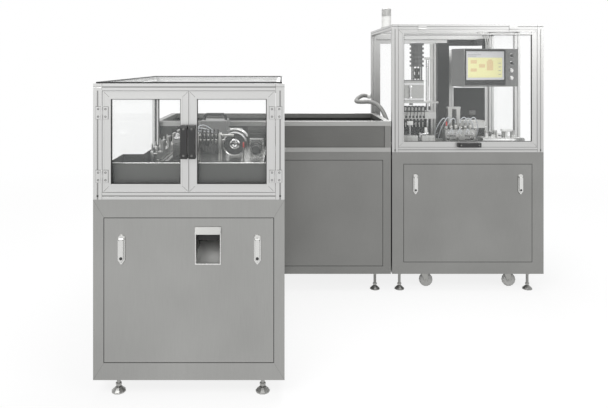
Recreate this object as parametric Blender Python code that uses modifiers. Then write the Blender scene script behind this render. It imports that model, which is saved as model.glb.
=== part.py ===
"""Suppository making machine: forming and filling module, cooling module and sealing module.

Metres, +Z up, +X to the right along the line, +Y to the back. The origin is on the floor
at the middle of the machine's footprint.
"""

import math

import bmesh
import bpy
from mathutils import Matrix, Vector

# The three modules
SEALING_WIDTH = 0.860
SEALING_DEPTH = 1.300
SEALING_CLEARANCE = 0.080
SEALING_TABLE_Z = 0.890
SEALING_TOP_Z = 1.412
COOLING_WIDTH = 1.565
COOLING_DEPTH = 0.670
COOLING_TOP_Z = 1.119
FORMING_WIDTH = 1.000
FORMING_DEPTH = 1.000
FORMING_TOP_Z = 1.760
LINE_CLEARANCE = 0.112
LINE_TABLE_Z = 0.915
MODULE_GAP = 0.008

# Sheet metal and aluminium profile
SHEET = 0.003
TABLE_PLATE = 0.012
PROFILE = 0.040
RAIL = 0.032
SLOT_WIDTH = 0.008
SLOT_DEPTH = 0.003
SEAM = 0.0003
WELD = 0.001
HAIR = 0.0002

# Lift-off cabinet panels
FRAME_DEPTH = 0.040
PANEL_DEPTH = 0.022
PANEL_GAP = 0.003
PANEL_LIP = 0.012
SEALING_PANEL_MARGINS = (0.050, 0.080, 0.083)
FORMING_PANEL_MARGINS = (0.078, 0.080, 0.080)
COOLING_PANEL_MARGINS = (0.055, 0.054, 0.054)

# Panel latches
LATCH_LENGTH = 0.132
LATCH_WIDTH = 0.032
LATCH_BASE = 0.005
LEVER_LENGTH = 0.104
LEVER_WIDTH = 0.020
LEVER_THICKNESS = 0.008
SEALING_LATCH_INSETS = (0.128, 0.122)
SEALING_LATCH_Z = 0.667
FORMING_LATCH_INSETS = (0.154, 0.153)
FORMING_LATCH_Z = 0.705

# Glazed doors of the sealing module
DOOR_FRAME = 0.036
DOOR_THICKNESS = 0.022
DOOR_GAP = 0.002
GUARD_HEAD = 0.016
REAR_HEADER = 0.064
PANE = 0.005
PANE_BITE = 0.0007
HINGE_LEAF = 0.028
HINGE_HEIGHT = 0.055
HINGE_LEAF_THICKNESS = 0.003
HINGE_BARREL = 0.0045
HINGE_PIN = 0.0022
HINGE_HEIGHTS = (0.105, 0.390)
HANDLE_LENGTH = 0.150
HANDLE_WIDTH = 0.029
HANDLE_REACH = 0.040
HANDLE_FOOT = 0.014
HANDLE_Z = 0.262

# Feet and casters
FOOT_PAD = 0.0325
FOOT_STEM = 0.009
FOOT_HEIGHT = 0.014
SEALING_FOOT_INSET = 0.100
SEALING_FOOT_SETBACK = 0.060
FORMING_FOOT_INSETS = (0.055, 0.093)
LINE_FOOT_SETBACK = 0.040
COOLING_FOOT_INSET = 0.100
CASTER_INSET = 0.222
CASTER_SETBACK = 0.080
CASTER_TRAIL = 0.018
WHEEL_RADIUS = 0.045
WHEEL_WIDTH = 0.024
WHEEL_FLOOR_GAP = 0.005
AXLE_RADIUS = 0.005
FORK_PLATE = 0.003
SPACER_INSET = 0.037
SPACER_RADIUS = 0.010

# Sealing and cutting mechanism
TUB_TOP_Z = 1.045
TUB_FRONT_DEPTH = 0.340
TUB_STEP = 0.150
TUB_GAPS = (0.006, 0.010)
CHUTE_WIDTH = 0.117
CHUTE_HEIGHT = 0.170
CHUTE_X = 0.5165
CHUTE_TOP_Z = 0.769
CHUTE_DEPTH = 0.200
BED_TOP_Z = 0.975
BED_GAPS = (0.005, 0.110)
BED_FRONT = 0.400
BED_LENGTH = 0.780
BED_THICKNESS = 0.018
PILLAR_RADIUS = 0.014
PILLAR_INSETS = (0.040, 0.050)
STRIP_X = 0.245
STRIP_GUIDE_HALF = 0.022
STRIP_GUIDE_HEIGHT = 0.030
STRIP_GUIDE_FLOOR = 0.008
STRIP_GUIDE_LEAD = 0.020
STRIP_GUIDE_END_GAP = 0.060
FIRST_STATION = 0.080
STATION_PITCH = 0.160
STATION_COUNT = 4
BLOCK_GAP = 0.034
BLOCK_WIDTH = 0.036
BLOCK_LENGTH = 0.060
BLOCK_HEIGHT = 0.130
CYLINDER_Z = 0.080
CYLINDER_RADIUS = 0.021
CYLINDER_LENGTH = 0.038
JAW_STROKE = 0.012
JAW_CLEARANCE = 0.001
JAW_ROD_Z = 0.050
JAW_ROD_RADIUS = 0.006
JAW_ROD_END = 0.020
JAW_BRACKET_GAP = 0.077
JAW_BRACKET_THICKNESS = 0.011
JAW_BRACKET_HALF = 0.020
JAW_BRACKET_HEIGHT = 0.068
JAW_BAR_BACK = 0.030
JAW_BAR_SETBACK = 0.004
JAW_BAR_LEAD = 0.040
JAW_BAR_HEIGHT = 0.032
JAW_PAD_THICKNESS = 0.012
JAW_PAD_Z = (0.032, 0.125)
JAW_PIVOT_GAP = 0.050
DRIVE_INSET = 0.045
DRIVE_Y = 0.180
DRIVE_Z = 0.060
DRIVE_RADIUS = 0.026
DRIVE_LENGTH = 0.080
DRIVE_PLATE_GAP = 0.005
DRIVE_PLATE_WIDTH = 0.077
DRIVE_PLATE_THICKNESS = 0.012
DRIVE_PLATE_HEIGHT = 0.110
DRUM_RADIUS = 0.068
DRUM_WIDTH = 0.040
DRUM_RIM = 0.010
DRUM_WEB = 0.008
DRUM_INSET = 0.162
DRUM_Y = 0.240
DRUM_Z = 0.085
DRUM_AXLE_RADIUS = 0.008
DRUM_AXLE_END = 0.004
DRUM_STAND_HALF = 0.036
DRUM_STAND_GAP = 0.052
DRUM_STAND_THICKNESS = 0.014
DRUM_MOTOR_RADIUS = 0.030
DRUM_MOTOR_LENGTH = 0.095
BORE_PLAY = 0.0006
COVER_X = 0.365
COVER_Y = 0.880
COVER_WIDTH = 0.155
COVER_DEPTH = 0.180
COVER_HEIGHT = 0.185
COVER_GRIP_RADIUS = 0.0055

# Cooling channel and the gates in the cooling module's sheet walls
CHANNEL_HALF = 0.060
CHANNEL_HEIGHT = 0.120
CHANNEL_FLOOR = 0.020
CHANNEL_GAP = 0.004
SKIN_INSET = 0.012
GATE_HALF = 0.030
GATE_LIFT = 0.010
GATE_HEIGHT = 0.110

# Forming bed and dies
WEB_Y = 0.210
WEB_SLOT = 0.006
FORMING_BED_GAPS = (0.060, 0.070)
FORMING_BED_HALF = 0.110
FORMING_BED_THICKNESS = 0.024
WEB_GUIDE_HALF = 0.030
WEB_GUIDE_FLOOR = 0.030
WEB_GUIDE_TOP = 0.064
WEB_GUIDE_END = 0.385
GUIDE_BLOCKS = ((0.100, 0.196), (0.222, 0.312))
GUIDE_BLOCK_Y = (0.085, 0.040)
GUIDE_BLOCK_TOP = 0.095
ROLLER_TABLE_X = 0.640
ROLLER_TABLE_GAP = 0.080
ROLLER_TABLE_Y = (0.090, 0.050)
ROLLER_TABLE_TOP = 0.075
ROLLER_RADIUS = 0.014
ROLLER_TOP = 0.125
ROLLER_Y = 0.030
ROLLER_PITCH = 0.060
FIRST_ROLLER = 0.040
DIE_X = 0.395
DIE_WIDTH = 0.205
DIE_GAP = 0.004
DIE_THICKNESS = 0.041
DIE_HEIGHT = 0.105
DIE_STROKE = 0.020
DIE_ROD_INSET = 0.020
DIE_ROD_Z = 0.050
DIE_ROD_RADIUS = 0.007
DIE_ROD_REACH = 0.098
DIE_BOSS_RADIUS = 0.022
DIE_BOSS_REACH = 0.075
DIE_PIVOT_Y = 0.030
PLATEN_Y = 0.070
PLATEN_THICKNESS = 0.018
PLATEN_HEIGHT = 0.120
TIE_RADIUS = 0.008
TIE_INSET = 0.025
TIE_HEIGHTS = (0.025, 0.085)
TWIN_X = 0.440
TWIN_Y = 0.050
TWIN_PITCH = 0.050
TWIN_WIDTH = 0.034
TWIN_HEIGHT = 0.245
TWIN_CAP_LIP = 0.004
TWIN_CAP_HEIGHT = 0.011

# Filling station
COLUMN_X = 0.358
COLUMN_Y = 0.160
COLUMN_SIZE = 0.036
COLUMN_TOP_Z = 1.642
GUIDE_ROD_X = 0.315
GUIDE_ROD_Y = 0.150
GUIDE_ROD_RADIUS = 0.011
GUIDE_ROD_TOP_Z = 1.530
CLAMP_HALF = 0.020
CLAMP_HEIGHT = 0.015
SHOE_X = (0.100, 0.400)
SHOE_Y = (0.125, 0.200)
SHOE_HEIGHT = 0.020
SHELF_X = 0.095
SHELF_FRONT = 0.005
SHELF_BACK = 0.010
SHELF_THICKNESS = 0.012
HOPPER_X = 0.183
HOPPER_Y = 0.070
HOPPER_SIZE = 0.150
HOPPER_NARROWING = 0.010
HOPPER_FLOOR_Z = 1.237
HOPPER_TOP_Z = 1.379
OUTLET_RADIUS = 0.020
SPOUT_LENGTH = 0.030
SPOUT_RADIUS = 0.014
SPOUT_BORE = 0.010
LID_THICKNESS = 0.006
MOTOR_BASE_Z = 1.478
MOTOR_OFFSET = 0.040
MOTOR_RADIUS = 0.050
MOTOR_FIN = 0.010
MOTOR_FIN_PITCH = 0.030
MOTOR_FIN_COUNT = 5
MOTOR_CROWN = 0.006
MOTOR_POST_REACH = 0.028
MOTOR_POST_RADIUS = 0.005
STIRRER_RADIUS = 0.006
STIRRER_LIFT = 0.020
BLADE_REACH = 0.026
BLADE_HEIGHT = 0.040
BLADE_THICKNESS = 0.003
HEAD_X = 0.110
HEAD_Z = 1.120
HEAD_HALF = 0.030
HEAD_HEIGHT = 0.045
HEAD_BORE_PLAY = 0.0008
FIRST_NOZZLE = 0.130
NOZZLE_COUNT = 6
NOZZLE_PITCH = 0.024
NOZZLE_LENGTH = 0.060
NOZZLE_RADIUS = 0.007
NOZZLE_TIP_RADIUS = 0.003
PUMP_RADIUS = 0.008
PUMP_HEIGHT = 0.035

# Film reel and wiring board
REEL_X = 0.690
REEL_Y = 0.520
REEL_LIFT = 0.115
REEL_RADIUS = 0.104
REEL_CORE = 0.034
REEL_HEIGHT = 0.050
REEL_WOUND = 0.044
REEL_FLANGE = 0.005
SPINDLE_RADII = (0.010, 0.030, 0.050)
SPINDLE_PIN = 0.055
BOARD_X = 0.600
BOARD_Y = 0.700
BOARD_WIDTH = 0.240
BOARD_THICKNESS = 0.006
BOARD_DROP = 0.024
STILE_WIDTH = 0.024
STILE_DEPTH = 0.023
STILE_INSET = 0.010
STILE_DROP = 0.014

# Operator panel
HMI_WIDTH = 0.425
HMI_HEIGHT = 0.266
HMI_DEPTH = 0.170
HMI_INSET = 0.282
HMI_STRIP = 0.105
HMI_Y = 0.330
HMI_BASE_Z = 1.338
HMI_YAW = math.radians(14)
HMI_COLUMN_X = 0.425
HMI_COLUMN_SIZE = (0.085, 0.080)
HMI_COLUMN_LIP = 0.010
ARM_Y = 0.510
ARM_RISE = 0.028
ARM_SIZE = 0.045
NECK_RADIUS = 0.018
BEZEL_INSET = 0.002
BEZEL_REACH = 0.006
BEZEL_MARGINS = (0.014, 0.006)
SCREEN_MARGINS = (0.014, 0.010, 0.048, 0.018)
SCREEN_SINK = 0.002
SCREEN_REACH = 0.004
CONTROL_DROPS = (0.048, 0.101, 0.153, 0.206)
CONTROL_RADIUS = 0.011
SEAT_DEPTH = 0.014
PRESS_GAP = 0.0005
PRESS_STROKE = 0.005
BUTTON_REACH = 0.007
SELECTOR_COLLAR = 0.004
SELECTOR_REACH = 0.018
GRIP_HALF = 0.004

# Beacon and hose: the hose's points from the post's socket, then from the gland, each above the table
BEACON_RADIUS = 0.034
BEACON_HEIGHT = 0.146
BEACON_LIP = 0.006
BEACON_X = 0.038
BEACON_Y = 0.455
HOSE_RADIUS = 0.016
HOSE_LOOP = ((0, 0, 0.320), (-0.015, 0, 0.320), (-0.030, 0, 0.320), (-0.070, -0.020, 0.323),
             (-0.110, -0.060, 0.307), (-0.135, -0.130, 0.285), (-0.105, -0.200, 0.283),
             (-0.050, -0.250, 0.287),
             (-0.005, -0.310, 0.275), (0.030, -0.370, 0.235), (0.055, -0.430, 0.165))
HOSE_END = ((-0.004, 0.050, 0.105), (0, 0, 0.060), (0, 0, 0.045), (0, 0, 0.030))

LINE_LENGTH = COOLING_WIDTH + MODULE_GAP + FORMING_WIDTH
LEFT = -LINE_LENGTH / 2
FRONT = -(SEALING_DEPTH + MODULE_GAP + FORMING_DEPTH - HANDLE_REACH) / 2
SEALING_RIGHT = LEFT + SEALING_WIDTH
SEALING_BACK = FRONT + SEALING_DEPTH
LINE_FRONT = SEALING_BACK + MODULE_GAP
COOLING_RIGHT = LEFT + COOLING_WIDTH
COOLING_BACK = LINE_FRONT + COOLING_DEPTH
FORMING_LEFT = COOLING_RIGHT + MODULE_GAP
FORMING_RIGHT = FORMING_LEFT + FORMING_WIDTH
FORMING_BACK = LINE_FRONT + FORMING_DEPTH
GLAND_PLACE = (FORMING_LEFT + 0.072, LINE_FRONT + 0.460)

for old in list(bpy.data.objects):
    bpy.data.objects.remove(old, do_unlink=True)
PARTS = bpy.data.collections.new("suppository_making_machine")
bpy.context.scene.collection.children.link(PARTS)


def look(name, colour, roughness, metallic=0.0, alpha=1.0):
    """A Principled material in the part's own colour."""
    material = bpy.data.materials.new(name)
    material.use_nodes = True
    shader = material.node_tree.nodes["Principled BSDF"]
    shader.inputs["Base Color"].default_value = (*colour, 1.0)
    shader.inputs["Roughness"].default_value = roughness
    shader.inputs["Metallic"].default_value = metallic
    shader.inputs["Alpha"].default_value = alpha
    return material


STEEL = ((0.42, 0.42, 0.41), 0.34, 0.9)
BRIGHT_STEEL = ((0.62, 0.62, 0.61), 0.25, 0.95)
ALUMINIUM = ((0.72, 0.72, 0.72), 0.38, 0.85)
CLEAR = ((0.92, 0.94, 0.94), 0.05, 0.0, 0.18)
BLACK = ((0.03, 0.03, 0.03), 0.45)
DARK_SHEET = ((0.10, 0.10, 0.10), 0.42, 0.6)
GREY_PAINT = ((0.22, 0.22, 0.22), 0.45, 0.2)
WHITE_PLASTIC = ((0.80, 0.80, 0.78), 0.4)
GREY_RUBBER = ((0.45, 0.45, 0.44), 0.6)
SCREEN_GLOW = ((0.85, 0.84, 0.62), 0.3)


def solid(mesh):
    """A loose working solid, named and given its look when it is finished."""
    obj = bpy.data.objects.new("solid", mesh)
    PARTS.objects.link(obj)
    return obj


def box(low, high):
    """A box between two corners."""
    low, high = Vector(low), Vector(high)
    form = bmesh.new()
    size = Matrix.Diagonal((*(high - low), 1.0))
    bmesh.ops.create_cube(form, size=1.0, matrix=Matrix.Translation((low + high) / 2) @ size)
    mesh = bpy.data.meshes.new("box")
    form.to_mesh(mesh)
    form.free()
    return solid(mesh)


def rod(start, end, radius, end_radius=None, sides=12):
    """A cylinder or cone between two points, turned half a facet so that a flat looks along the axes."""
    start, end = Vector(start), Vector(end)
    along = end - start
    turn = along.to_track_quat("Z", "Y").to_matrix().to_4x4() @ Matrix.Rotation(math.pi / sides, 4, "Z")
    form = bmesh.new()
    bmesh.ops.create_cone(
        form, cap_ends=True, segments=sides, radius1=radius,
        radius2=radius if end_radius is None else end_radius, depth=along.length,
        matrix=Matrix.Translation((start + end) / 2) @ turn,
    )
    mesh = bpy.data.meshes.new("rod")
    form.to_mesh(mesh)
    form.free()
    return solid(mesh)


def meshed(curve_object):
    """The evaluated object as a mesh with its caps welded and its flat faces made whole."""
    graph = bpy.context.evaluated_depsgraph_get()
    mesh = bpy.data.meshes.new_from_object(curve_object.evaluated_get(graph))
    form = bmesh.new()
    form.from_mesh(mesh)
    bmesh.ops.remove_doubles(form, verts=form.verts, dist=1e-5)
    bmesh.ops.dissolve_limit(form, angle_limit=math.radians(0.1), verts=form.verts, edges=form.edges)
    bmesh.ops.transform(form, matrix=curve_object.matrix_world, verts=form.verts)
    form.to_mesh(mesh)
    form.free()
    bpy.data.objects.remove(curve_object, do_unlink=True)
    return solid(mesh)


PLANES = {
    "X": Matrix(((0, 0, 1), (1, 0, 0), (0, 1, 0))).to_4x4(),
    "Y": Matrix(((1, 0, 0), (0, 0, -1), (0, 1, 0))).to_4x4(),
    "Z": Matrix.Identity(4),
}


def extrusion(outline, axis, start, end):
    """A flat outline drawn across an axis, filled and extruded from start to end along it."""
    curve = bpy.data.curves.new("outline", "CURVE")
    curve.dimensions = "2D"
    curve.fill_mode = "BOTH"
    curve.extrude = (end - start) / 2
    spline = curve.splines.new("POLY")
    spline.points.add(len(outline) - 1)
    for point, (across, up) in zip(spline.points, outline):
        point.co = (across, up, 0, 1)
    spline.use_cyclic_u = True
    obj = solid(curve)
    middle = Vector((0, 0, 0))
    middle["XYZ".index(axis)] = (start + end) / 2
    obj.matrix_world = Matrix.Translation(middle) @ PLANES[axis]
    bpy.context.view_layer.update()
    return meshed(obj)


def turned(profile, foot, axis="Z", sides=16):
    """A turned solid: radius and height pairs listed from the top down, spun about an axis from its foot."""
    mesh = bpy.data.meshes.new("profile")
    points = [(radius, 0, height) for radius, height in profile]
    mesh.from_pydata(points, [(i, i + 1) for i in range(len(points) - 1)], [])
    obj = solid(mesh)
    screw = obj.modifiers.new("Turn", "SCREW")
    screw.steps = screw.render_steps = sides
    screw.use_merge_vertices = True
    screw.merge_threshold = 1e-5
    tilt = {"Z": Matrix.Identity(4), "X": Matrix.Rotation(math.pi / 2, 4, "Y"),
            "Y": Matrix.Rotation(-math.pi / 2, 4, "X")}[axis]
    obj.matrix_world = Matrix.Translation(foot) @ tilt
    bpy.context.view_layer.update()
    return meshed(obj)


def tube(points, radius, resolution=2):
    """A round tube along points, with filled caps."""
    curve = bpy.data.curves.new("tube", "CURVE")
    curve.dimensions = "3D"
    curve.bevel_depth = radius
    curve.bevel_resolution = resolution
    curve.use_fill_caps = True
    spline = curve.splines.new("POLY")
    spline.points.add(len(points) - 1)
    for point, place in zip(spline.points, points):
        point.co = (*place, 1)
    return meshed(solid(curve))


def combine(target, tools, operation):
    """Applies a Boolean with each tool in turn and removes the tools."""
    for tool in tools:
        change = target.modifiers.new(operation, "BOOLEAN")
        change.operation = operation
        change.object = tool
        graph = bpy.context.evaluated_depsgraph_get()
        mesh = bpy.data.meshes.new_from_object(target.evaluated_get(graph))
        target.modifiers.clear()
        target.data = mesh
        bpy.data.objects.remove(tool, do_unlink=True)
    return target


def fuse(target, *tools):
    return combine(target, tools, "UNION")


def cut(target, *tools):
    return combine(target, tools, "DIFFERENCE")


def together(*solids):
    """Several solids that don't touch, as one tool for a Boolean."""
    form = bmesh.new()
    for obj in solids:
        form.from_mesh(obj.data)
        bpy.data.objects.remove(obj, do_unlink=True)
    mesh = bpy.data.meshes.new("set")
    form.to_mesh(mesh)
    form.free()
    return solid(mesh)


def pivot(name, place, parent=None, yaw=0.0):
    """An empty on a joint's axis that carries what moves about it."""
    empty = bpy.data.objects.new(name, None)
    empty.empty_display_size = 0.05
    PARTS.objects.link(empty)
    empty.parent = parent
    empty.location = Vector(place) - (parent.matrix_world.translation if parent else Vector())
    empty.rotation_euler = (0, 0, yaw)
    bpy.context.view_layer.update()
    return empty


def finish(name, obj, finish_values, carrier=None):
    """Names a solid, gives it its look and hangs it on the empty that carries it."""
    obj.name = name
    obj.data.name = name
    obj.data.materials.clear()
    obj.data.materials.append(look(name, *finish_values))
    if carrier:
        obj.data.transform(Matrix.Translation(-carrier.matrix_world.translation))
        obj.parent = carrier
    obj.data.shade_smooth()
    obj.data.set_sharp_from_angle(angle=math.radians(35))
    return obj


def slotted(across, up, width, height, slot=SLOT_WIDTH):
    """An aluminium profile's outline: a rectangle with a groove in the middle of each side."""
    mouth = slot / 2
    middle = (across + width / 2, up + height / 2)
    outline = []
    for turn in range(4):
        reach, half = (height / 2, width / 2) if turn % 2 == 0 else (width / 2, height / 2)
        cos, sin = ((1, 0), (0, 1), (-1, 0), (0, -1))[turn]
        side = [(-half, -reach), (-mouth, -reach), (0, SLOT_DEPTH - reach), (mouth, -reach)]
        outline += [(middle[0] + u * cos - v * sin, middle[1] + u * sin + v * cos) for u, v in side]
    return outline


def post(x, y, bottom, top):
    return extrusion(slotted(x, y, PROFILE, PROFILE), "Z", bottom, top)


def cross_rail(x0, x1, y, z):
    """A rail along X, a hair slimmer than the posts so that its faces lie just inside theirs."""
    outline = slotted(y + HAIR, z + HAIR, PROFILE - 2 * HAIR, RAIL - 2 * HAIR, SLOT_WIDTH - 4 * HAIR)
    return extrusion(outline, "X", x0, x1)


def depth_rail(x, y0, y1, z):
    """A rail along Y, a hair slimmer again than the cross rails that it meets."""
    outline = slotted(x + 2 * HAIR, z + 2 * HAIR, PROFILE - 4 * HAIR, RAIL - 4 * HAIR, SLOT_WIDTH - 8 * HAIR)
    return extrusion(outline, "Y", y0, y1)


def tube_frame(low, high):
    """Four posts and two rings of plain square tube, as one welded frame."""
    (x0, y0, z0), (x1, y1, z1) = low, high
    frame = box(low, high)
    across = box((x0 + PROFILE, y0 - 0.01, z0 + RAIL), (x1 - PROFILE, y1 + 0.01, z1 - RAIL))
    along = box((x0 - 0.01, y0 + PROFILE, z0 + RAIL), (x1 + 0.01, y1 - PROFILE, z1 - RAIL))
    through = box((x0 + PROFILE, y0 + PROFILE, z0 - 0.01), (x1 - PROFILE, y1 - PROFILE, z1 + 0.01))
    return cut(frame, across, along, through)


def profile_frame(low, high, extra_posts=()):
    """Four posts under a top ring and round a bottom ring of slotted profile, joined at the corners."""
    x0, y0, z0 = low
    x1, y1, z1 = high
    inner_x, inner_y = (x0 + PROFILE - WELD, x1 - PROFILE + WELD), (y0 + PROFILE - WELD, y1 - PROFILE + WELD)
    corners = [(x0, y0), (x1 - PROFILE, y0), (x0, y1 - PROFILE), (x1 - PROFILE, y1 - PROFILE)]
    posts = together(*[post(x, y, z0, z1 - RAIL + WELD) for x, y in [*corners, *extra_posts]])
    top = [cross_rail(x0 + HAIR, x1 - HAIR, y, z1 - RAIL) for y in (y0, y1 - PROFILE)]
    bottom = [cross_rail(*inner_x, y, z0) for y in (y0, y1 - PROFILE)]
    sides = [depth_rail(x, *inner_y, z) for x in (x0, x1 - PROFILE) for z in (z0, z1 - RAIL)]
    return fuse(posts, together(*top, *bottom), together(*sides))


def foot(x, y, height):
    """A levelling foot: a stem and nut above a flared pad."""
    profile = [
        (0, height + WELD), (FOOT_STEM, height + WELD), (FOOT_STEM, FOOT_HEIGHT + 0.010),
        (FOOT_PAD * 0.45, FOOT_HEIGHT + 0.008), (FOOT_PAD, FOOT_HEIGHT * 0.4), (FOOT_PAD, 0), (0, 0),
    ]
    return turned(profile, (x, y, 0), sides=10)


def cabinet(low, high, margins, plate, feet, extras=()):
    """A sheet-metal cabinet on its feet, open at the front where the lift-off panel sits in a rebate."""
    (x0, y0, z0), (x1, y1, z1) = low, high
    side, under, over = margins
    shell = box(low, high)
    hollow = box((x0 + SHEET, y0 + FRAME_DEPTH, z0 + SHEET), (x1 - SHEET, y1 - SHEET, z1 - plate))
    px0, px1, pz0, pz1 = x0 + side, x1 - side, z0 + under, z1 - over
    rebate = box((px0 - PANEL_GAP, y0 - 0.01, pz0 - PANEL_GAP),
                 (px1 + PANEL_GAP, y0 + PANEL_DEPTH, pz1 + PANEL_GAP))
    mouth = box((px0 + PANEL_LIP, y0, pz0 + PANEL_LIP),
                (px1 - PANEL_LIP, y0 + FRAME_DEPTH + 0.01, pz1 - PANEL_LIP))
    cut(shell, hollow, rebate, mouth)
    return fuse(shell, together(*[foot(x, y, z0) for x, y in feet]), *extras)


def panel(low, high, margins):
    """A folded sheet tray that fills the cabinet's rebate, flush with its front."""
    (x0, y0, z0), (x1, _, z1) = low, high
    side, under, over = margins
    px0, px1, pz0, pz1 = x0 + side, x1 - side, z0 + under, z1 - over
    back = y0 + PANEL_DEPTH - SEAM
    tray = box((px0, y0, pz0), (px1, back, pz1))
    return cut(tray, box((px0 + SHEET, y0 + SHEET, pz0 + SHEET), (px1 - SHEET, back + 0.01, pz1 - SHEET)))


def latch_outline(x, z, width, length):
    """Round at the top and pointed at the bottom, about its middle."""
    half = width / 2
    top, bottom = z + length / 2, z - length / 2
    arc = [(x + half * math.cos(a), top - half + half * math.sin(a))
           for a in [math.pi * i / 6 for i in range(7)]]
    return [*arc, (x - half, bottom + half * 1.2), (x - half * 0.35, bottom), (x + half * 0.35, bottom),
            (x + half, bottom + half * 1.2)]


def latch_base(x, z, front):
    """The latch's plate on the panel, with two ears that hold the lever's knuckle."""
    base = extrusion(latch_outline(x, z, LATCH_WIDTH, LATCH_LENGTH), "Y", front - LATCH_BASE, front + WELD)
    ear = LEVER_THICKNESS
    eye_z = z + LEVER_LENGTH / 2 - ear / 2
    ears = [
        box((x + side - 0.0015, front - LATCH_BASE - ear, eye_z - ear / 2),
            (x + side + 0.0015, front - LATCH_BASE + WELD, eye_z + ear / 2))
        for side in (-LEVER_WIDTH / 2 - 0.0018, LEVER_WIDTH / 2 + 0.0018)
    ]
    return fuse(base, together(*ears))


def latch_lever(name, x, z, front, carrier):
    """The lever in front of the plate, with a round knuckle at the top where it tips out."""
    face = front - LATCH_BASE - SEAM
    half = LEVER_THICKNESS / 2
    eye_z = z + LEVER_LENGTH / 2 - half
    outline = latch_outline(x, z - half / 2, LEVER_WIDTH, LEVER_LENGTH - half)
    lever = extrusion(outline, "Y", face - LEVER_THICKNESS, face)
    knuckle = rod((x - LEVER_WIDTH / 2, face - half, eye_z), (x + LEVER_WIDTH / 2, face - half, eye_z), half,
                  sides=12)
    hinge = pivot(name + "_pivot", (x, face - half, eye_z), carrier)
    return finish(name, fuse(lever, knuckle), BRIGHT_STEEL, hinge)


def pull_handle(name, x, z, front, carrier, upright=True):
    """A black bridge handle: a grip standing off the frame on two feet."""
    half, reach, base = HANDLE_LENGTH / 2, HANDLE_REACH, SEAM
    outline = [
        (-half, -base), (-half, -reach + 0.008), (-half + 0.012, -reach), (half - 0.012, -reach),
        (half, -reach + 0.008), (half, -base), (half - HANDLE_FOOT, -base),
        (half - HANDLE_FOOT - 0.004, -reach + 0.012), (-half + HANDLE_FOOT + 0.004, -reach + 0.012),
        (-half + HANDLE_FOOT, -base),
    ]
    if upright:
        shape = extrusion([(front + out, z + along) for along, out in outline][::-1], "X",
                          x - HANDLE_WIDTH / 2, x + HANDLE_WIDTH / 2)
    else:
        shape = extrusion([(x + along, front + out) for along, out in outline], "Z",
                          z - HANDLE_WIDTH / 2, z + HANDLE_WIDTH / 2)
    return finish(name, shape, BLACK, carrier)


def fixed_hinge(x, side, front, z):
    """The frame's half of a butterfly hinge: leaf, two outer knuckles and the pin through them."""
    axis_y = front - HINGE_BARREL
    third = HINGE_HEIGHT / 3
    edge = x + side * HINGE_LEAF
    leaf = box((min(x + side * HINGE_BARREL, edge), front - HINGE_LEAF_THICKNESS, z - HINGE_HEIGHT / 2),
               (max(x + side * HINGE_BARREL, edge), front + WELD, z + HINGE_HEIGHT / 2))
    knuckles = [rod((x, axis_y, z + sign * HINGE_HEIGHT / 2), (x, axis_y, z + sign * third / 2),
                    HINGE_BARREL, sides=8)
                for sign in (-1, 1)]
    inner, outer = third / 2 + HAIR, HINGE_HEIGHT / 2 - HAIR
    near, far = sorted((x, x + side * (HINGE_BARREL + WELD)))
    tongues = [box((near, front - HINGE_LEAF_THICKNESS + HAIR, z + min(sign * inner, sign * outer)),
                   (far, front - 2 * SEAM, z + max(sign * inner, sign * outer))) for sign in (-1, 1)]
    pin = rod((x, axis_y, z - third), (x, axis_y, z + third), HINGE_PIN, sides=8)
    return fuse(leaf, together(*tongues), together(*knuckles), pin)


def moving_hinge(x, side, front, z):
    """The door's half: leaf and a bored middle knuckle."""
    axis_y = front - HINGE_BARREL
    reach = HINGE_HEIGHT / 6 - SEAM
    edge = x + side * HINGE_LEAF
    leaf = box((min(x + side * (HINGE_BARREL + 0.001), edge), front - HINGE_LEAF_THICKNESS,
                z - HINGE_HEIGHT / 2),
               (max(x + side * (HINGE_BARREL + 0.001), edge), front + WELD, z + HINGE_HEIGHT / 2))
    near, far = sorted((x, x + side * (HINGE_BARREL + 2 * WELD)))
    tongue = box((near, front - HINGE_LEAF_THICKNESS + HAIR, z - reach + HAIR),
                 (far, front - 2 * SEAM, z + reach - HAIR))
    knuckle = rod((x, axis_y, z - reach), (x, axis_y, z + reach), HINGE_BARREL, sides=8)
    bore = rod((x, axis_y, z - 2 * reach), (x, axis_y, z + 2 * reach), HINGE_PIN + BORE_PLAY, sides=8)
    return cut(fuse(leaf, tongue, knuckle), bore)


def picture_frame(x0, x1, z0, z1, front, width, head=DOOR_FRAME):
    """A rectangular door frame of flat bar, open in the middle, with the rebate that holds the pane."""
    frame = box((x0, front, z0), (x1, front + DOOR_THICKNESS, z1))
    light = box((x0 + width, front - 0.01, z0 + width),
                (x1 - width, front + DOOR_THICKNESS + 0.01, z1 - head))
    rebate = box((x0 + width - PANE, front + DOOR_THICKNESS - 2 * PANE, z0 + width - PANE),
                 (x1 - width + PANE, front + DOOR_THICKNESS + 0.01, z1 - head + PANE))
    return cut(frame, light, rebate)


def frame_pane(x0, x1, z0, z1, front, width, head=DOOR_FRAME):
    """The clear pane that fills the rebate."""
    inset, drop = width - PANE + SEAM, head - PANE + SEAM
    face = front + DOOR_THICKNESS - 2 * PANE + SEAM
    return box((x0 + inset, face, z0 + inset), (x1 - inset, face + PANE, z1 - drop))


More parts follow.
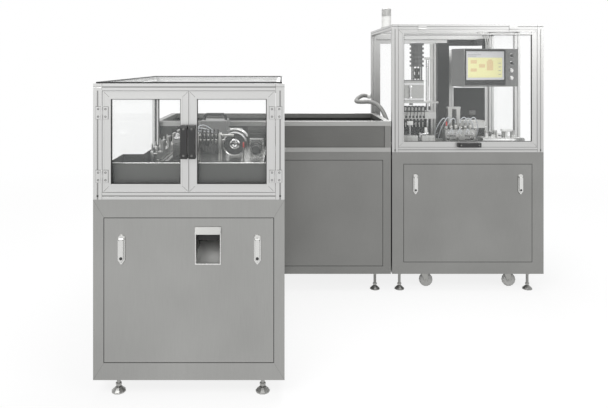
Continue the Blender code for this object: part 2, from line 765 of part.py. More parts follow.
def sealing_module():
    low, high = (LEFT, FRONT, SEALING_CLEARANCE), (SEALING_RIGHT, SEALING_BACK, SEALING_TABLE_Z)
    near, far = FRONT + SEALING_FOOT_SETBACK, SEALING_BACK - SEALING_FOOT_SETBACK
    feet = [(x, y) for x in (LEFT + SEALING_FOOT_INSET, SEALING_RIGHT - SEALING_FOOT_INSET)
            for y in (near, far)]
    body = cabinet(low, high, SEALING_PANEL_MARGINS, TABLE_PLATE, feet)
    chute_x = LEFT + CHUTE_X
    drop = box((chute_x - CHUTE_WIDTH / 2 + 0.008, FRONT + 0.100, SEALING_TABLE_Z - 0.05),
               (chute_x + CHUTE_WIDTH / 2 - 0.008, FRONT + 0.190, SEALING_TABLE_Z + 0.05))
    finish("sealing_cabinet", cut(body, drop), STEEL)
    sealing_panel(low, high, chute_x)
    sealing_enclosure()
    sealing_doors()
    sealing_mechanism(chute_x)


def sealing_panel(low, high, chute_x):
    """The lift-off front panel with the discharge chute through it and a latch on each side."""
    carrier = pivot("sealing_panel_slide", (LEFT + SEALING_WIDTH / 2, FRONT, (low[2] + high[2]) / 2))
    sheet = panel(low, high, SEALING_PANEL_MARGINS)
    half = CHUTE_WIDTH / 2
    base_z = CHUTE_TOP_Z - CHUTE_HEIGHT
    mouth = box((chute_x - half, FRONT - 0.01, base_z), (chute_x + half, FRONT + PANEL_DEPTH, CHUTE_TOP_Z))
    sheet = cut(sheet, mouth)
    latch_x = (LEFT + SEALING_LATCH_INSETS[0], SEALING_RIGHT - SEALING_LATCH_INSETS[1])
    for x in latch_x:
        sheet = fuse(sheet, latch_base(x, SEALING_LATCH_Z, FRONT))
    finish("sealing_front_panel", sheet, STEEL, carrier)
    for side, x in zip(("left", "right"), latch_x):
        latch_lever("sealing_latch_" + side, x, SEALING_LATCH_Z, FRONT, carrier)
    # A tray with a sloping floor, open at the front and along the back of its top, with a short hood
    inner, outer = half - SEAM - SHEET, half - SEAM
    back = FRONT + CHUTE_DEPTH
    low_z, high_z = base_z + SEAM, CHUTE_TOP_Z - SEAM
    side_outline = [(FRONT - 0.004, low_z), (back, low_z + 0.075), (back, high_z), (FRONT - 0.004, high_z)]
    hood = [(FRONT - 0.004, high_z), (FRONT - 0.004, high_z - SHEET), (FRONT - 0.014, high_z - 0.032),
            (FRONT - 0.014 - SHEET, high_z - 0.031), (FRONT - 0.006, high_z)]
    chute = extrusion(side_outline, "X", chute_x - outer, chute_x + outer)
    space = extrusion([(FRONT - 0.05, low_z + SHEET - 0.018), (back - SHEET, low_z + SHEET + 0.0738),
                       (back - SHEET, high_z + 0.01), (FRONT + 0.090, high_z + 0.01),
                       (FRONT + 0.090, high_z - SHEET), (FRONT - 0.05, high_z - SHEET)],
                      "X", chute_x - inner, chute_x + inner)
    lip = extrusion(hood, "X", chute_x - outer, chute_x + outer)
    finish("discharge_chute", fuse(cut(chute, space), lip), STEEL, carrier)


def sealing_enclosure():
    """The slotted aluminium frame round the sealing chamber, its panes and the doors' fixed hinges."""
    low, high = (LEFT, FRONT, SEALING_TABLE_Z + SEAM), (SEALING_RIGHT, SEALING_BACK, SEALING_TOP_Z)
    frame = profile_frame(low, high)
    stop_y = FRONT + DOOR_THICKNESS + SEAM
    stop_z = SEALING_TOP_Z - RAIL - 0.012
    door_stop = box((LEFT + PROFILE - WELD, stop_y, stop_z),
                    (SEALING_RIGHT - PROFILE + WELD, stop_y + 0.008, stop_z + 0.013))
    frame = fuse(frame, door_stop)
    for side, x in ((-1, LEFT + PROFILE), (1, SEALING_RIGHT - PROFILE)):
        for height in HINGE_HEIGHTS:
            frame = fuse(frame, fixed_hinge(x, side, FRONT, SEALING_TABLE_Z + height))
    finish("sealing_frame", frame, ALUMINIUM)
    z0, z1 = low[2] + RAIL - PANE_BITE, SEALING_TOP_Z - RAIL - SEAM
    y0, y1 = FRONT + PROFILE - PANE_BITE, SEALING_BACK - PROFILE + PANE_BITE
    for side, x in (("left", LEFT + PROFILE / 2), ("right", SEALING_RIGHT - PROFILE / 2)):
        finish("sealing_side_pane_" + side, box((x - PANE / 2, y0, z0), (x + PANE / 2, y1, z1)), CLEAR)
    lid = box((LEFT + 0.012, FRONT + 0.012, SEALING_TOP_Z + SEAM),
              (SEALING_RIGHT - 0.012, SEALING_BACK - 0.012, SEALING_TOP_Z + SEAM + PANE))
    finish("sealing_top_pane", lid, CLEAR)


def sealing_doors():
    """Two glazed doors flush between the posts, meeting in the middle."""
    z0 = SEALING_TABLE_Z + RAIL + DOOR_GAP
    z1 = SEALING_TOP_Z - RAIL - DOOR_GAP
    middle = LEFT + SEALING_WIDTH / 2
    doors = (("left", LEFT + PROFILE, middle - DOOR_GAP / 2, 1),
             ("right", SEALING_RIGHT - PROFILE, middle + DOOR_GAP / 2, -1))
    for side, axis_x, meeting, way in doors:
        carrier = pivot("door_pivot_" + side, (axis_x, FRONT - HINGE_BARREL, (z0 + z1) / 2))
        x0, x1 = sorted((axis_x + way * DOOR_GAP, meeting))
        frame = picture_frame(x0, x1, z0, z1, FRONT, DOOR_FRAME)
        for height in HINGE_HEIGHTS:
            frame = fuse(frame, moving_hinge(axis_x, way, FRONT, SEALING_TABLE_Z + height))
        finish("door_frame_" + side, frame, ALUMINIUM, carrier)
        finish("door_pane_" + side, frame_pane(x0, x1, z0, z1, FRONT, DOOR_FRAME), CLEAR, carrier)
        handle_x = meeting - way * (DOOR_FRAME / 2 - 0.001)
        pull_handle("door_handle_" + side, handle_x, SEALING_TABLE_Z + HANDLE_Z, FRONT, carrier)


def tub_outline(inset):
    """The L-shaped tray seen from above, drawn in by an inset."""
    near, front = PROFILE + TUB_GAPS[0] + inset, PROFILE + TUB_GAPS[1] + inset
    x0, x1 = LEFT + near, SEALING_RIGHT - near
    y0, y1 = FRONT + front, SEALING_BACK - near
    step_x, step_y = LEFT + TUB_STEP + inset, FRONT + TUB_FRONT_DEPTH - inset
    return [(x0, y0), (x1, y0), (x1, y1), (step_x, y1), (step_x, step_y), (x0, step_y)]


def guide_outline(middle, half, base, floor, top):
    """A slotted bar seen from its end, in whose slot the strip's lower edge runs."""
    slot = WEB_SLOT / 2
    return [(middle - half, base), (middle + half, base), (middle + half, top), (middle + slot, top),
            (middle + slot, floor), (middle - slot, floor), (middle - slot, top), (middle - half, top)]


def station_places():
    """How far back each sealing station is."""
    return [FRONT + BED_FRONT + FIRST_STATION + STATION_PITCH * i for i in range(STATION_COUNT)]


def sealing_mechanism(chute_x):
    floor = SEALING_TABLE_Z + 2 * SEAM
    tray = extrusion(tub_outline(0.0), "Z", floor, TUB_TOP_Z)
    hollow = extrusion(tub_outline(SHEET), "Z", floor + SHEET, TUB_TOP_Z + 0.01)
    drop = box((chute_x - CHUTE_WIDTH / 2 + 0.010, FRONT + 0.102, floor - 0.01),
               (chute_x + CHUTE_WIDTH / 2 - 0.010, FRONT + 0.188, floor + 0.02))
    finish("sealing_tub", cut(tray, hollow, drop), DARK_SHEET)
    sealing_bed(floor + SHEET + SEAM)
    sealing_jaw()
    cutter_drum()
    gearing_cover()


def sealing_bed(floor):
    """The bed stands on pillars in the tray, with the strip's guide and the fixed sealing blocks on it."""
    left, right = LEFT + TUB_STEP + BED_GAPS[0], SEALING_RIGHT - BED_GAPS[1]
    front, back = FRONT + BED_FRONT, FRONT + BED_FRONT + BED_LENGTH
    strip_x, seat, underside = LEFT + STRIP_X, BED_TOP_Z - WELD, BED_TOP_Z - BED_THICKNESS
    bed = box((left, front, underside), (right, back, BED_TOP_Z))
    pillars = [rod((x, y, floor), (x, y, underside + WELD), PILLAR_RADIUS)
               for x in (left + PILLAR_INSETS[0], right - PILLAR_INSETS[0])
               for y in (front + PILLAR_INSETS[1], back - PILLAR_INSETS[1])]
    outline = guide_outline(strip_x, STRIP_GUIDE_HALF, seat, seat + STRIP_GUIDE_FLOOR,
                            seat + STRIP_GUIDE_HEIGHT)
    guide = extrusion(outline, "Y", front - STRIP_GUIDE_LEAD, SEALING_BACK - STRIP_GUIDE_END_GAP)

    places, blocks, cylinders, rods, brackets = station_places(), [], [], [], []
    block_x, cylinder_z = (strip_x + BLOCK_GAP, strip_x + BLOCK_GAP + BLOCK_WIDTH), BED_TOP_Z + CYLINDER_Z
    for y in places:
        blocks.append(box((block_x[0], y - BLOCK_LENGTH / 2, seat),
                          (block_x[1], y + BLOCK_LENGTH / 2, BED_TOP_Z + BLOCK_HEIGHT)))
        cylinders.append(rod((block_x[1] - 2 * WELD, y, cylinder_z),
                             (block_x[1] + CYLINDER_LENGTH, y, cylinder_z), CYLINDER_RADIUS))
    bracket_x, rod_z = strip_x - JAW_BRACKET_GAP, BED_TOP_Z + JAW_ROD_Z
    for y in (places[0], places[-1]):
        rods.append(rod((bracket_x - WELD, y, rod_z), (strip_x - JAW_ROD_END, y, rod_z), JAW_ROD_RADIUS))
        brackets.append(box((bracket_x - JAW_BRACKET_THICKNESS, y - JAW_BRACKET_HALF, seat),
                            (bracket_x, y + JAW_BRACKET_HALF, BED_TOP_Z + JAW_BRACKET_HEIGHT)))

    drive_x, drive_z, plate_y = right - DRIVE_INSET, BED_TOP_Z + DRIVE_Z, front + DRIVE_Y + DRIVE_LENGTH
    plate = box((right - DRIVE_PLATE_GAP - DRIVE_PLATE_WIDTH, plate_y, seat),
                (right - DRIVE_PLATE_GAP, plate_y + DRIVE_PLATE_THICKNESS, BED_TOP_Z + DRIVE_PLATE_HEIGHT))
    drive = rod((drive_x, front + DRIVE_Y, drive_z), (drive_x, plate_y + WELD, drive_z), DRIVE_RADIUS)
    x, y, z = drum_centre()
    stand = box((x - DRUM_STAND_HALF, y + DRUM_STAND_GAP, seat),
                (x + DRUM_STAND_HALF, y + DRUM_STAND_GAP + DRUM_STAND_THICKNESS, z + DRUM_STAND_HALF))
    motor_y = y + DRUM_STAND_GAP + DRUM_STAND_THICKNESS - WELD
    motor = rod((x, motor_y, z), (x, motor_y + DRUM_MOTOR_LENGTH, z), DRUM_MOTOR_RADIUS)
    axle = rod((x, y - DRUM_WIDTH / 2 - DRUM_AXLE_END, z), (x, y + DRUM_STAND_GAP + WELD, z),
               DRUM_AXLE_RADIUS)

    fuse(bed, together(*pillars), guide, together(*blocks, *brackets), together(*cylinders), together(*rods))
    finish("sealing_bed", fuse(bed, together(plate, stand), together(motor, drive), axle), BRIGHT_STEEL)


def sealing_jaw():
    """The moving bar slides on two rods and presses a pad on the strip at each station."""
    places, strip_x = station_places(), LEFT + STRIP_X
    middle, rod_z = (places[0] + places[-1]) / 2, BED_TOP_Z + JAW_ROD_Z
    carrier = pivot("sealing_jaw_slide", (strip_x - JAW_PIVOT_GAP, middle, rod_z))
    face = strip_x - WEB_SLOT / 2 - JAW_CLEARANCE - JAW_STROKE
    bar = box((face - JAW_BAR_BACK, places[0] - JAW_BAR_LEAD, rod_z - JAW_BAR_HEIGHT / 2),
              (face - JAW_BAR_SETBACK, places[-1] + JAW_BAR_LEAD, rod_z + JAW_BAR_HEIGHT / 2))
    pads = [box((face - JAW_PAD_THICKNESS, y - BLOCK_LENGTH / 2, BED_TOP_Z + JAW_PAD_Z[0]),
                (face, y + BLOCK_LENGTH / 2, BED_TOP_Z + JAW_PAD_Z[1])) for y in places]
    bores = [rod((strip_x - 0.2, y, rod_z), (strip_x + 0.1, y, rod_z), JAW_ROD_RADIUS + BORE_PLAY)
             for y in (places[0], places[-1])]
    finish("sealing_jaw", cut(fuse(bar, together(*pads)), together(*bores)), ALUMINIUM, carrier)


def drum_centre():
    return (SEALING_RIGHT - BED_GAPS[1] - DRUM_INSET, FRONT + BED_FRONT + DRUM_Y, BED_TOP_Z + DRUM_Z)


def cutter_drum():
    """A drum with a rim and a hub round a thinner web, turning on the stand's axle."""
    bore, half = DRUM_AXLE_RADIUS + BORE_PLAY, DRUM_WIDTH / 2
    rim, hub = DRUM_RADIUS - DRUM_RIM, DRUM_RADIUS * 0.42
    profile = [(bore, half), (hub, half), (hub, DRUM_WEB), (rim, DRUM_WEB), (rim, half), (DRUM_RADIUS, half),
               (DRUM_RADIUS, -half), (bore, -half), (bore, half)]
    carrier = pivot("cutter_drum_axle", drum_centre())
    finish("cutter_drum", turned(profile, drum_centre(), "Y", sides=24), BRIGHT_STEEL, carrier)


def gearing_cover():
    """A sheet cover over the feed gearing, lifted off by the grip on top."""
    x0, x1 = LEFT + COVER_X, LEFT + COVER_X + COVER_WIDTH
    y0, y1 = FRONT + COVER_Y, FRONT + COVER_Y + COVER_DEPTH
    top = BED_TOP_Z + COVER_HEIGHT
    carrier = pivot("cover_lift", ((x0 + x1) / 2, (y0 + y1) / 2, BED_TOP_Z))
    shell = box((x0, y0, BED_TOP_Z + SEAM), (x1, y1, top))
    inside = box((x0 + SHEET, y0 + SHEET, BED_TOP_Z - 0.01), (x1 - SHEET, y1 - SHEET, top - SHEET))
    y, route = (y0 + y1) / 2, []
    for inset, rise in ((0.012, -WELD), (0.016, 0.026), (0.028, 0.034)):
        route.append((x0 + inset, y, top + rise))
    route += [(x0 + x1 - x, y, z) for x, _, z in reversed(route)]
    finish("gearing_cover", fuse(cut(shell, inside), tube(route, COVER_GRIP_RADIUS)), GREY_PAINT, carrier)


def cooling_module():
    """The low module behind the sealing module, with the channel that cools the strip."""
    low, high = (LEFT, LINE_FRONT, LINE_CLEARANCE), (COOLING_RIGHT, COOLING_BACK, LINE_TABLE_Z)
    near, far = LINE_FRONT + LINE_FOOT_SETBACK, COOLING_BACK - LINE_FOOT_SETBACK
    feet = [(x, y) for x in (LEFT + COOLING_FOOT_INSET, COOLING_RIGHT - COOLING_FOOT_INSET)
            for y in (near, far)]
    # Bolted spacers tie it to the sealing module in front and to the forming module on the right
    spacers = []
    for z in (LINE_CLEARANCE + SPACER_INSET, LINE_TABLE_Z - SPACER_INSET):
        for x in (LEFT + SPACER_INSET, SEALING_RIGHT - SPACER_INSET):
            spacers.append(rod((x, SEALING_BACK + SEAM, z), (x, LINE_FRONT + WELD, z), SPACER_RADIUS))
        for y in (LINE_FRONT + SPACER_INSET, COOLING_BACK - SPACER_INSET):
            spacers.append(rod((COOLING_RIGHT - WELD, y, z), (FORMING_LEFT - SEAM, y, z), SPACER_RADIUS))
    finish("cooling_cabinet", cabinet(low, high, COOLING_PANEL_MARGINS, SHEET, feet, [together(*spacers)]),
           STEEL)
    finish("cooling_front_panel", panel(low, high, COOLING_PANEL_MARGINS), STEEL)

    base = LINE_TABLE_Z + SEAM
    frame = tube_frame((LEFT, LINE_FRONT, base), (COOLING_RIGHT, COOLING_BACK, COOLING_TOP_Z))
    skin_z = (base + RAIL - WELD, COOLING_TOP_Z - RAIL + WELD)
    skin_x = (LEFT + PROFILE - WELD, COOLING_RIGHT - PROFILE + WELD)
    skin_y = (LINE_FRONT + PROFILE - WELD, COOLING_BACK - PROFILE + WELD)
    skins = [box((skin_x[0], y - SHEET / 2, skin_z[0]), (skin_x[1], y + SHEET / 2, skin_z[1]))
             for y in (LINE_FRONT + SKIN_INSET, COOLING_BACK - SKIN_INSET)]
    ends = [box((x - SHEET / 2, skin_y[0], skin_z[0]), (x + SHEET / 2, skin_y[1], skin_z[1]))
            for x in (LEFT + SKIN_INSET, COOLING_RIGHT - SKIN_INSET)]
    run_y, turn_x, gate_z = LINE_FRONT + WEB_Y, LEFT + STRIP_X, base + RAIL + GATE_LIFT
    gates = together(
        box((COOLING_RIGHT - 0.03, run_y - GATE_HALF, gate_z),
            (COOLING_RIGHT + 0.01, run_y + GATE_HALF, gate_z + GATE_HEIGHT)),
        box((turn_x - GATE_HALF, LINE_FRONT - 0.01, gate_z),
            (turn_x + GATE_HALF, LINE_FRONT + 0.03, gate_z + GATE_HEIGHT)),
    )
    finish("cooling_frame", cut(fuse(frame, together(*skins), together(*ends)), gates), ALUMINIUM)

    # A slotted channel carries the standing strip from right to left and turns it towards the sealing module
    deck = base + SEAM
    half, top, floor = CHANNEL_HALF, deck + CHANNEL_HEIGHT, deck + CHANNEL_FLOOR
    end_x, near_y = COOLING_RIGHT - PROFILE - CHANNEL_GAP, LINE_FRONT + PROFILE + CHANNEL_GAP
    channel = box((turn_x - half, run_y - half, deck), (end_x, run_y + half, top))
    slot_x = box((turn_x, run_y - WEB_SLOT, floor), (COOLING_RIGHT, run_y + WEB_SLOT, top + 0.01))
    spur = box((turn_x - half, near_y, deck), (turn_x + half, run_y - half + WELD, top))
    slot_y = box((turn_x - WEB_SLOT, LINE_FRONT, floor), (turn_x + WEB_SLOT, run_y + WEB_SLOT, top + 0.01))
    finish("cooling_channel", cut(fuse(channel, spur), slot_x, slot_y), BRIGHT_STEEL)


def forming_module():
    low, high = (FORMING_LEFT, LINE_FRONT, LINE_CLEARANCE), (FORMING_RIGHT, FORMING_BACK, LINE_TABLE_Z)
    near, far = LINE_FRONT + LINE_FOOT_SETBACK, FORMING_BACK - LINE_FOOT_SETBACK
    feet = [(x, y) for x in (FORMING_LEFT + FORMING_FOOT_INSETS[0], FORMING_RIGHT - FORMING_FOOT_INSETS[1])
            for y in (near, far)]
    forks = []
    caster_x = (("left", FORMING_LEFT + CASTER_INSET), ("right", FORMING_RIGHT - CASTER_INSET))
    for _, x in caster_x:
        forks.append(caster_fork(x, FORMING_BACK - CASTER_SETBACK, LINE_CLEARANCE + WELD))
    gland = turned([(0, 0.030 - SEAM), (0.022, 0.030 - SEAM), (0.022, 0.010), (0.028, 0.008), (0.028, -WELD),
                    (0, -WELD)],
                   (*GLAND_PLACE, LINE_TABLE_Z), sides=12)
    finish("forming_cabinet",
           cabinet(low, high, FORMING_PANEL_MARGINS, TABLE_PLATE, feet, [together(*forks), gland]), STEEL)
    for side, x in caster_x:
        swivel = pivot("caster_swivel_" + side, (x, LINE_FRONT + CASTER_SETBACK, LINE_CLEARANCE))
        finish("caster_fork_" + side, caster_fork(x, LINE_FRONT + CASTER_SETBACK, LINE_CLEARANCE - SEAM),
               BRIGHT_STEEL, swivel)
        caster_wheel("caster_wheel_" + side, x, LINE_FRONT + CASTER_SETBACK, swivel)
        caster_wheel("rear_wheel_" + side, x, FORMING_BACK - CASTER_SETBACK, None)
    carrier = pivot("forming_panel_slide", ((low[0] + high[0]) / 2, LINE_FRONT, (low[2] + high[2]) / 2))
    sheet = panel(low, high, FORMING_PANEL_MARGINS)
    latch_x = (FORMING_LEFT + FORMING_LATCH_INSETS[0], FORMING_RIGHT - FORMING_LATCH_INSETS[1])
    for x in latch_x:
        sheet = fuse(sheet, latch_base(x, FORMING_LATCH_Z, LINE_FRONT))
    finish("forming_front_panel", sheet, STEEL, carrier)
    for side, x in zip(("left", "right"), latch_x):
        latch_lever("forming_latch_" + side, x, FORMING_LATCH_Z, LINE_FRONT, carrier)
    forming_enclosure()
    forming_guard()
    forming_mechanism()
    operator_panel()
    beacon_and_hose()


def caster_fork(x, y, top):
    """A caster's plate, neck and two cheeks, with the axle across them under the trailing end."""
    axle = (x + CASTER_TRAIL, WHEEL_FLOOR_GAP + WHEEL_RADIUS)
    cheek_y = WHEEL_WIDTH / 2 + 0.0015
    crown = axle[1] + WHEEL_RADIUS + 0.003
    neck = rod((x, y, crown), (x, y, top), 0.020)
    cap = box((x - 0.023, y - cheek_y - FORK_PLATE - HAIR, crown),
              (x + 0.032, y + cheek_y + FORK_PLATE + HAIR, crown + FORK_PLATE))
    cheek = [(x - 0.018, crown + WELD), (axle[0] - 0.010, axle[1] - 0.008),
             (axle[0] + 0.010, axle[1] - 0.008), (x + 0.030, crown + WELD)]
    cheeks = [extrusion(cheek, "Y", y + low, y + low + FORK_PLATE)
              for low in (-cheek_y - FORK_PLATE, cheek_y)]
    pin = rod((axle[0], y - cheek_y - FORK_PLATE - 0.004, axle[1]),
              (axle[0], y + cheek_y + FORK_PLATE + 0.004, axle[1]), AXLE_RADIUS)
    return fuse(cap, neck, together(*cheeks), pin)


def caster_wheel(name, x, y, swivel):
    """A wheel with a rounded tread and hub, bored for the axle."""
    centre = (x + CASTER_TRAIL, y, WHEEL_FLOOR_GAP + WHEEL_RADIUS)
    half, bore = WHEEL_WIDTH / 2, AXLE_RADIUS + 0.0005
    profile = [(bore, half), (0.016, half), (0.018, half - 0.004), (WHEEL_RADIUS - 0.012, half - 0.004),
               (WHEEL_RADIUS - 0.008, half), (WHEEL_RADIUS, half - 0.006), (WHEEL_RADIUS, 0.006 - half),
               (WHEEL_RADIUS - 0.008, -half), (bore, -half), (bore, half)]
    finish(name, turned(profile, centre, "Y", sides=14), GREY_RUBBER, pivot(name + "_axle", centre, swivel))


def forming_enclosure():
    low = (FORMING_LEFT, LINE_FRONT, LINE_TABLE_Z + SEAM)
    high = (FORMING_RIGHT, FORMING_BACK, FORMING_TOP_Z)
    mid_post = (FORMING_RIGHT - PROFILE, LINE_FRONT + 0.400)
    frame = profile_frame(low, high, extra_posts=[mid_post])
    for side, x in guard_hinges():
        frame = fuse(frame, guard_hinge_fixed(x))
    # The back is closed by a deeper header and a framed pane, which stand between the rear posts
    rear_x = (FORMING_LEFT + PROFILE - WELD, FORMING_RIGHT - PROFILE + WELD)
    header = box((rear_x[0], FORMING_BACK - PROFILE + 2 * HAIR, FORMING_TOP_Z - REAR_HEADER),
                 (rear_x[1], FORMING_BACK - 2 * HAIR, FORMING_TOP_Z - RAIL + SLOT_DEPTH + WELD))
    rear_z = (low[2] + RAIL - WELD, FORMING_TOP_Z - REAR_HEADER + WELD)
    rear_face = FORMING_BACK - DOOR_THICKNESS - 2 * HAIR
    window = picture_frame(*rear_x, *rear_z, rear_face, DOOR_FRAME)
    finish("forming_frame", fuse(frame, fuse(header, window)), ALUMINIUM)
    finish("forming_back_pane", frame_pane(*rear_x, *rear_z, rear_face, DOOR_FRAME), CLEAR)
    # The side pane's edges stand in the grooves of the posts and rails
    z0 = low[2] + RAIL - PANE_BITE
    x = FORMING_RIGHT - PROFILE / 2
    side_y = (mid_post[1] + PROFILE - PANE_BITE, FORMING_BACK - PROFILE + PANE_BITE)
    side_top = FORMING_TOP_Z - RAIL - SEAM
    finish("forming_side_pane", box((x - PANE / 2, side_y[0], z0), (x + PANE / 2, side_y[1], side_top)),
           CLEAR)


def guard_hinges():
    return (("left", FORMING_LEFT + 0.200), ("right", FORMING_RIGHT - 0.200))


GUARD_TOP_Z = FORMING_TOP_Z - RAIL - DOOR_GAP
GUARD_BASE_Z = LINE_TABLE_Z + RAIL + DOOR_GAP
GUARD_AXIS_Y = LINE_FRONT - HINGE_BARREL
GUARD_AXIS_Z = FORMING_TOP_Z - RAIL - DOOR_GAP / 2


def guard_hinge_fixed(x):
    """Leaf and pin on the frame's top rail, with a knuckle at each end."""
    half, third = HINGE_HEIGHT / 2, HINGE_HEIGHT / 3
    leaf = box((x - half, LINE_FRONT - HINGE_LEAF_THICKNESS, GUARD_AXIS_Z + HINGE_BARREL),
               (x + half, LINE_FRONT + WELD, GUARD_AXIS_Z + 0.026))
    inner, outer = third / 2 + HAIR, half - HAIR
    tongues = [box((x + min(s * inner, s * outer), LINE_FRONT - HINGE_LEAF_THICKNESS + HAIR, GUARD_AXIS_Z),
                   (x + max(s * inner, s * outer), LINE_FRONT - 2 * SEAM,
                    GUARD_AXIS_Z + HINGE_BARREL + WELD)) for s in (-1, 1)]
    knuckles = [rod((x + s * half, GUARD_AXIS_Y, GUARD_AXIS_Z),
                    (x + s * third / 2, GUARD_AXIS_Y, GUARD_AXIS_Z), HINGE_BARREL, sides=8) for s in (-1, 1)]
    pin = rod((x - third, GUARD_AXIS_Y, GUARD_AXIS_Z), (x + third, GUARD_AXIS_Y, GUARD_AXIS_Z), HINGE_PIN,
              sides=8)
    return fuse(leaf, together(*tongues), together(*knuckles), pin)


def guard_hinge_moving(x):
    half, reach = HINGE_HEIGHT / 2, HINGE_HEIGHT / 6 - SEAM
    leaf = box((x - half, LINE_FRONT - HINGE_LEAF_THICKNESS, GUARD_TOP_Z - GUARD_HEAD + WELD),
               (x + half, LINE_FRONT + WELD, GUARD_AXIS_Z - HINGE_BARREL - 0.001))
    tongue = box((x - reach + HAIR, LINE_FRONT - HINGE_LEAF_THICKNESS + HAIR,
                  GUARD_AXIS_Z - HINGE_BARREL - 2 * WELD),
                 (x + reach - HAIR, LINE_FRONT - 2 * SEAM, GUARD_AXIS_Z))
    knuckle = rod((x - reach, GUARD_AXIS_Y, GUARD_AXIS_Z), (x + reach, GUARD_AXIS_Y, GUARD_AXIS_Z),
                  HINGE_BARREL, sides=8)
    bore = rod((x - 2 * reach, GUARD_AXIS_Y, GUARD_AXIS_Z), (x + 2 * reach, GUARD_AXIS_Y, GUARD_AXIS_Z),
               HINGE_PIN + BORE_PLAY, sides=8)
    return cut(fuse(leaf, tongue, knuckle), bore)


def forming_guard():
    """The front guard of the forming chamber: a glazed flap hinged along its top."""
    carrier = pivot("guard_pivot", (FORMING_LEFT + FORMING_WIDTH / 2, GUARD_AXIS_Y, GUARD_AXIS_Z))
    x0, x1 = FORMING_LEFT + PROFILE + DOOR_GAP, FORMING_RIGHT - PROFILE - DOOR_GAP
    frame = picture_frame(x0, x1, GUARD_BASE_Z, GUARD_TOP_Z, LINE_FRONT, DOOR_FRAME, GUARD_HEAD)
    for side, x in guard_hinges():
        frame = fuse(frame, guard_hinge_moving(x))
    finish("guard_frame", frame, ALUMINIUM, carrier)
    pane = frame_pane(x0, x1, GUARD_BASE_Z, GUARD_TOP_Z, LINE_FRONT, DOOR_FRAME, GUARD_HEAD)
    finish("guard_pane", pane, CLEAR, carrier)
    pull_handle("guard_handle", FORMING_LEFT + 0.505, GUARD_BASE_Z + DOOR_FRAME / 2 - 0.002, LINE_FRONT,
                carrier, upright=False)


def forming_mechanism():
    """The bed with the web's guide, the filling station over it, the forming dies and the film reel."""
    deck, web_y = LINE_TABLE_Z + SEAM, LINE_FRONT + WEB_Y
    forming_bed(deck, web_y)
    forming_dies(deck + FORMING_BED_THICKNESS + SEAM, web_y)
    filling_stand(deck, web_y)
    hopper(web_y)
    nozzle_head(web_y)
    film_reel(deck)
    control_board(deck)


def forming_bed(deck, web_y):
    """The base plate with the strip's guide and its blocks on the left and the roller table on the right."""
    seat = deck + FORMING_BED_THICKNESS - WELD
    left, right = FORMING_LEFT + FORMING_BED_GAPS[0], FORMING_RIGHT - FORMING_BED_GAPS[1]
    bed = box((left, web_y - FORMING_BED_HALF, deck), (right, web_y + FORMING_BED_HALF, seat + WELD))
    outline = guide_outline(web_y, WEB_GUIDE_HALF, seat, deck + WEB_GUIDE_FLOOR, deck + WEB_GUIDE_TOP)
    guide = extrusion(outline, "X", left, FORMING_LEFT + WEB_GUIDE_END)
    blocks = [box((FORMING_LEFT + u0, web_y - GUIDE_BLOCK_Y[0], seat),
                  (FORMING_LEFT + u1, web_y - GUIDE_BLOCK_Y[1], deck + GUIDE_BLOCK_TOP))
              for u0, u1 in GUIDE_BLOCKS]
    table_x = (FORMING_LEFT + ROLLER_TABLE_X, FORMING_RIGHT - ROLLER_TABLE_GAP)
    table = box((table_x[0], web_y - ROLLER_TABLE_Y[0], seat),
                (table_x[1], web_y + ROLLER_TABLE_Y[1], deck + ROLLER_TABLE_TOP))
    roller_x = [table_x[0] + FIRST_ROLLER + ROLLER_PITCH * i
                for i in range(int((table_x[1] - table_x[0]) / ROLLER_PITCH))]
    roller_y, roller_z = web_y - ROLLER_Y, (deck + ROLLER_TABLE_TOP - WELD, deck + ROLLER_TOP)
    rollers = [rod((x, roller_y, roller_z[0]), (x, roller_y, roller_z[1]), ROLLER_RADIUS) for x in roller_x]
    finish("forming_bed", fuse(bed, guide, together(*blocks), table, together(*rollers)), BRIGHT_STEEL)


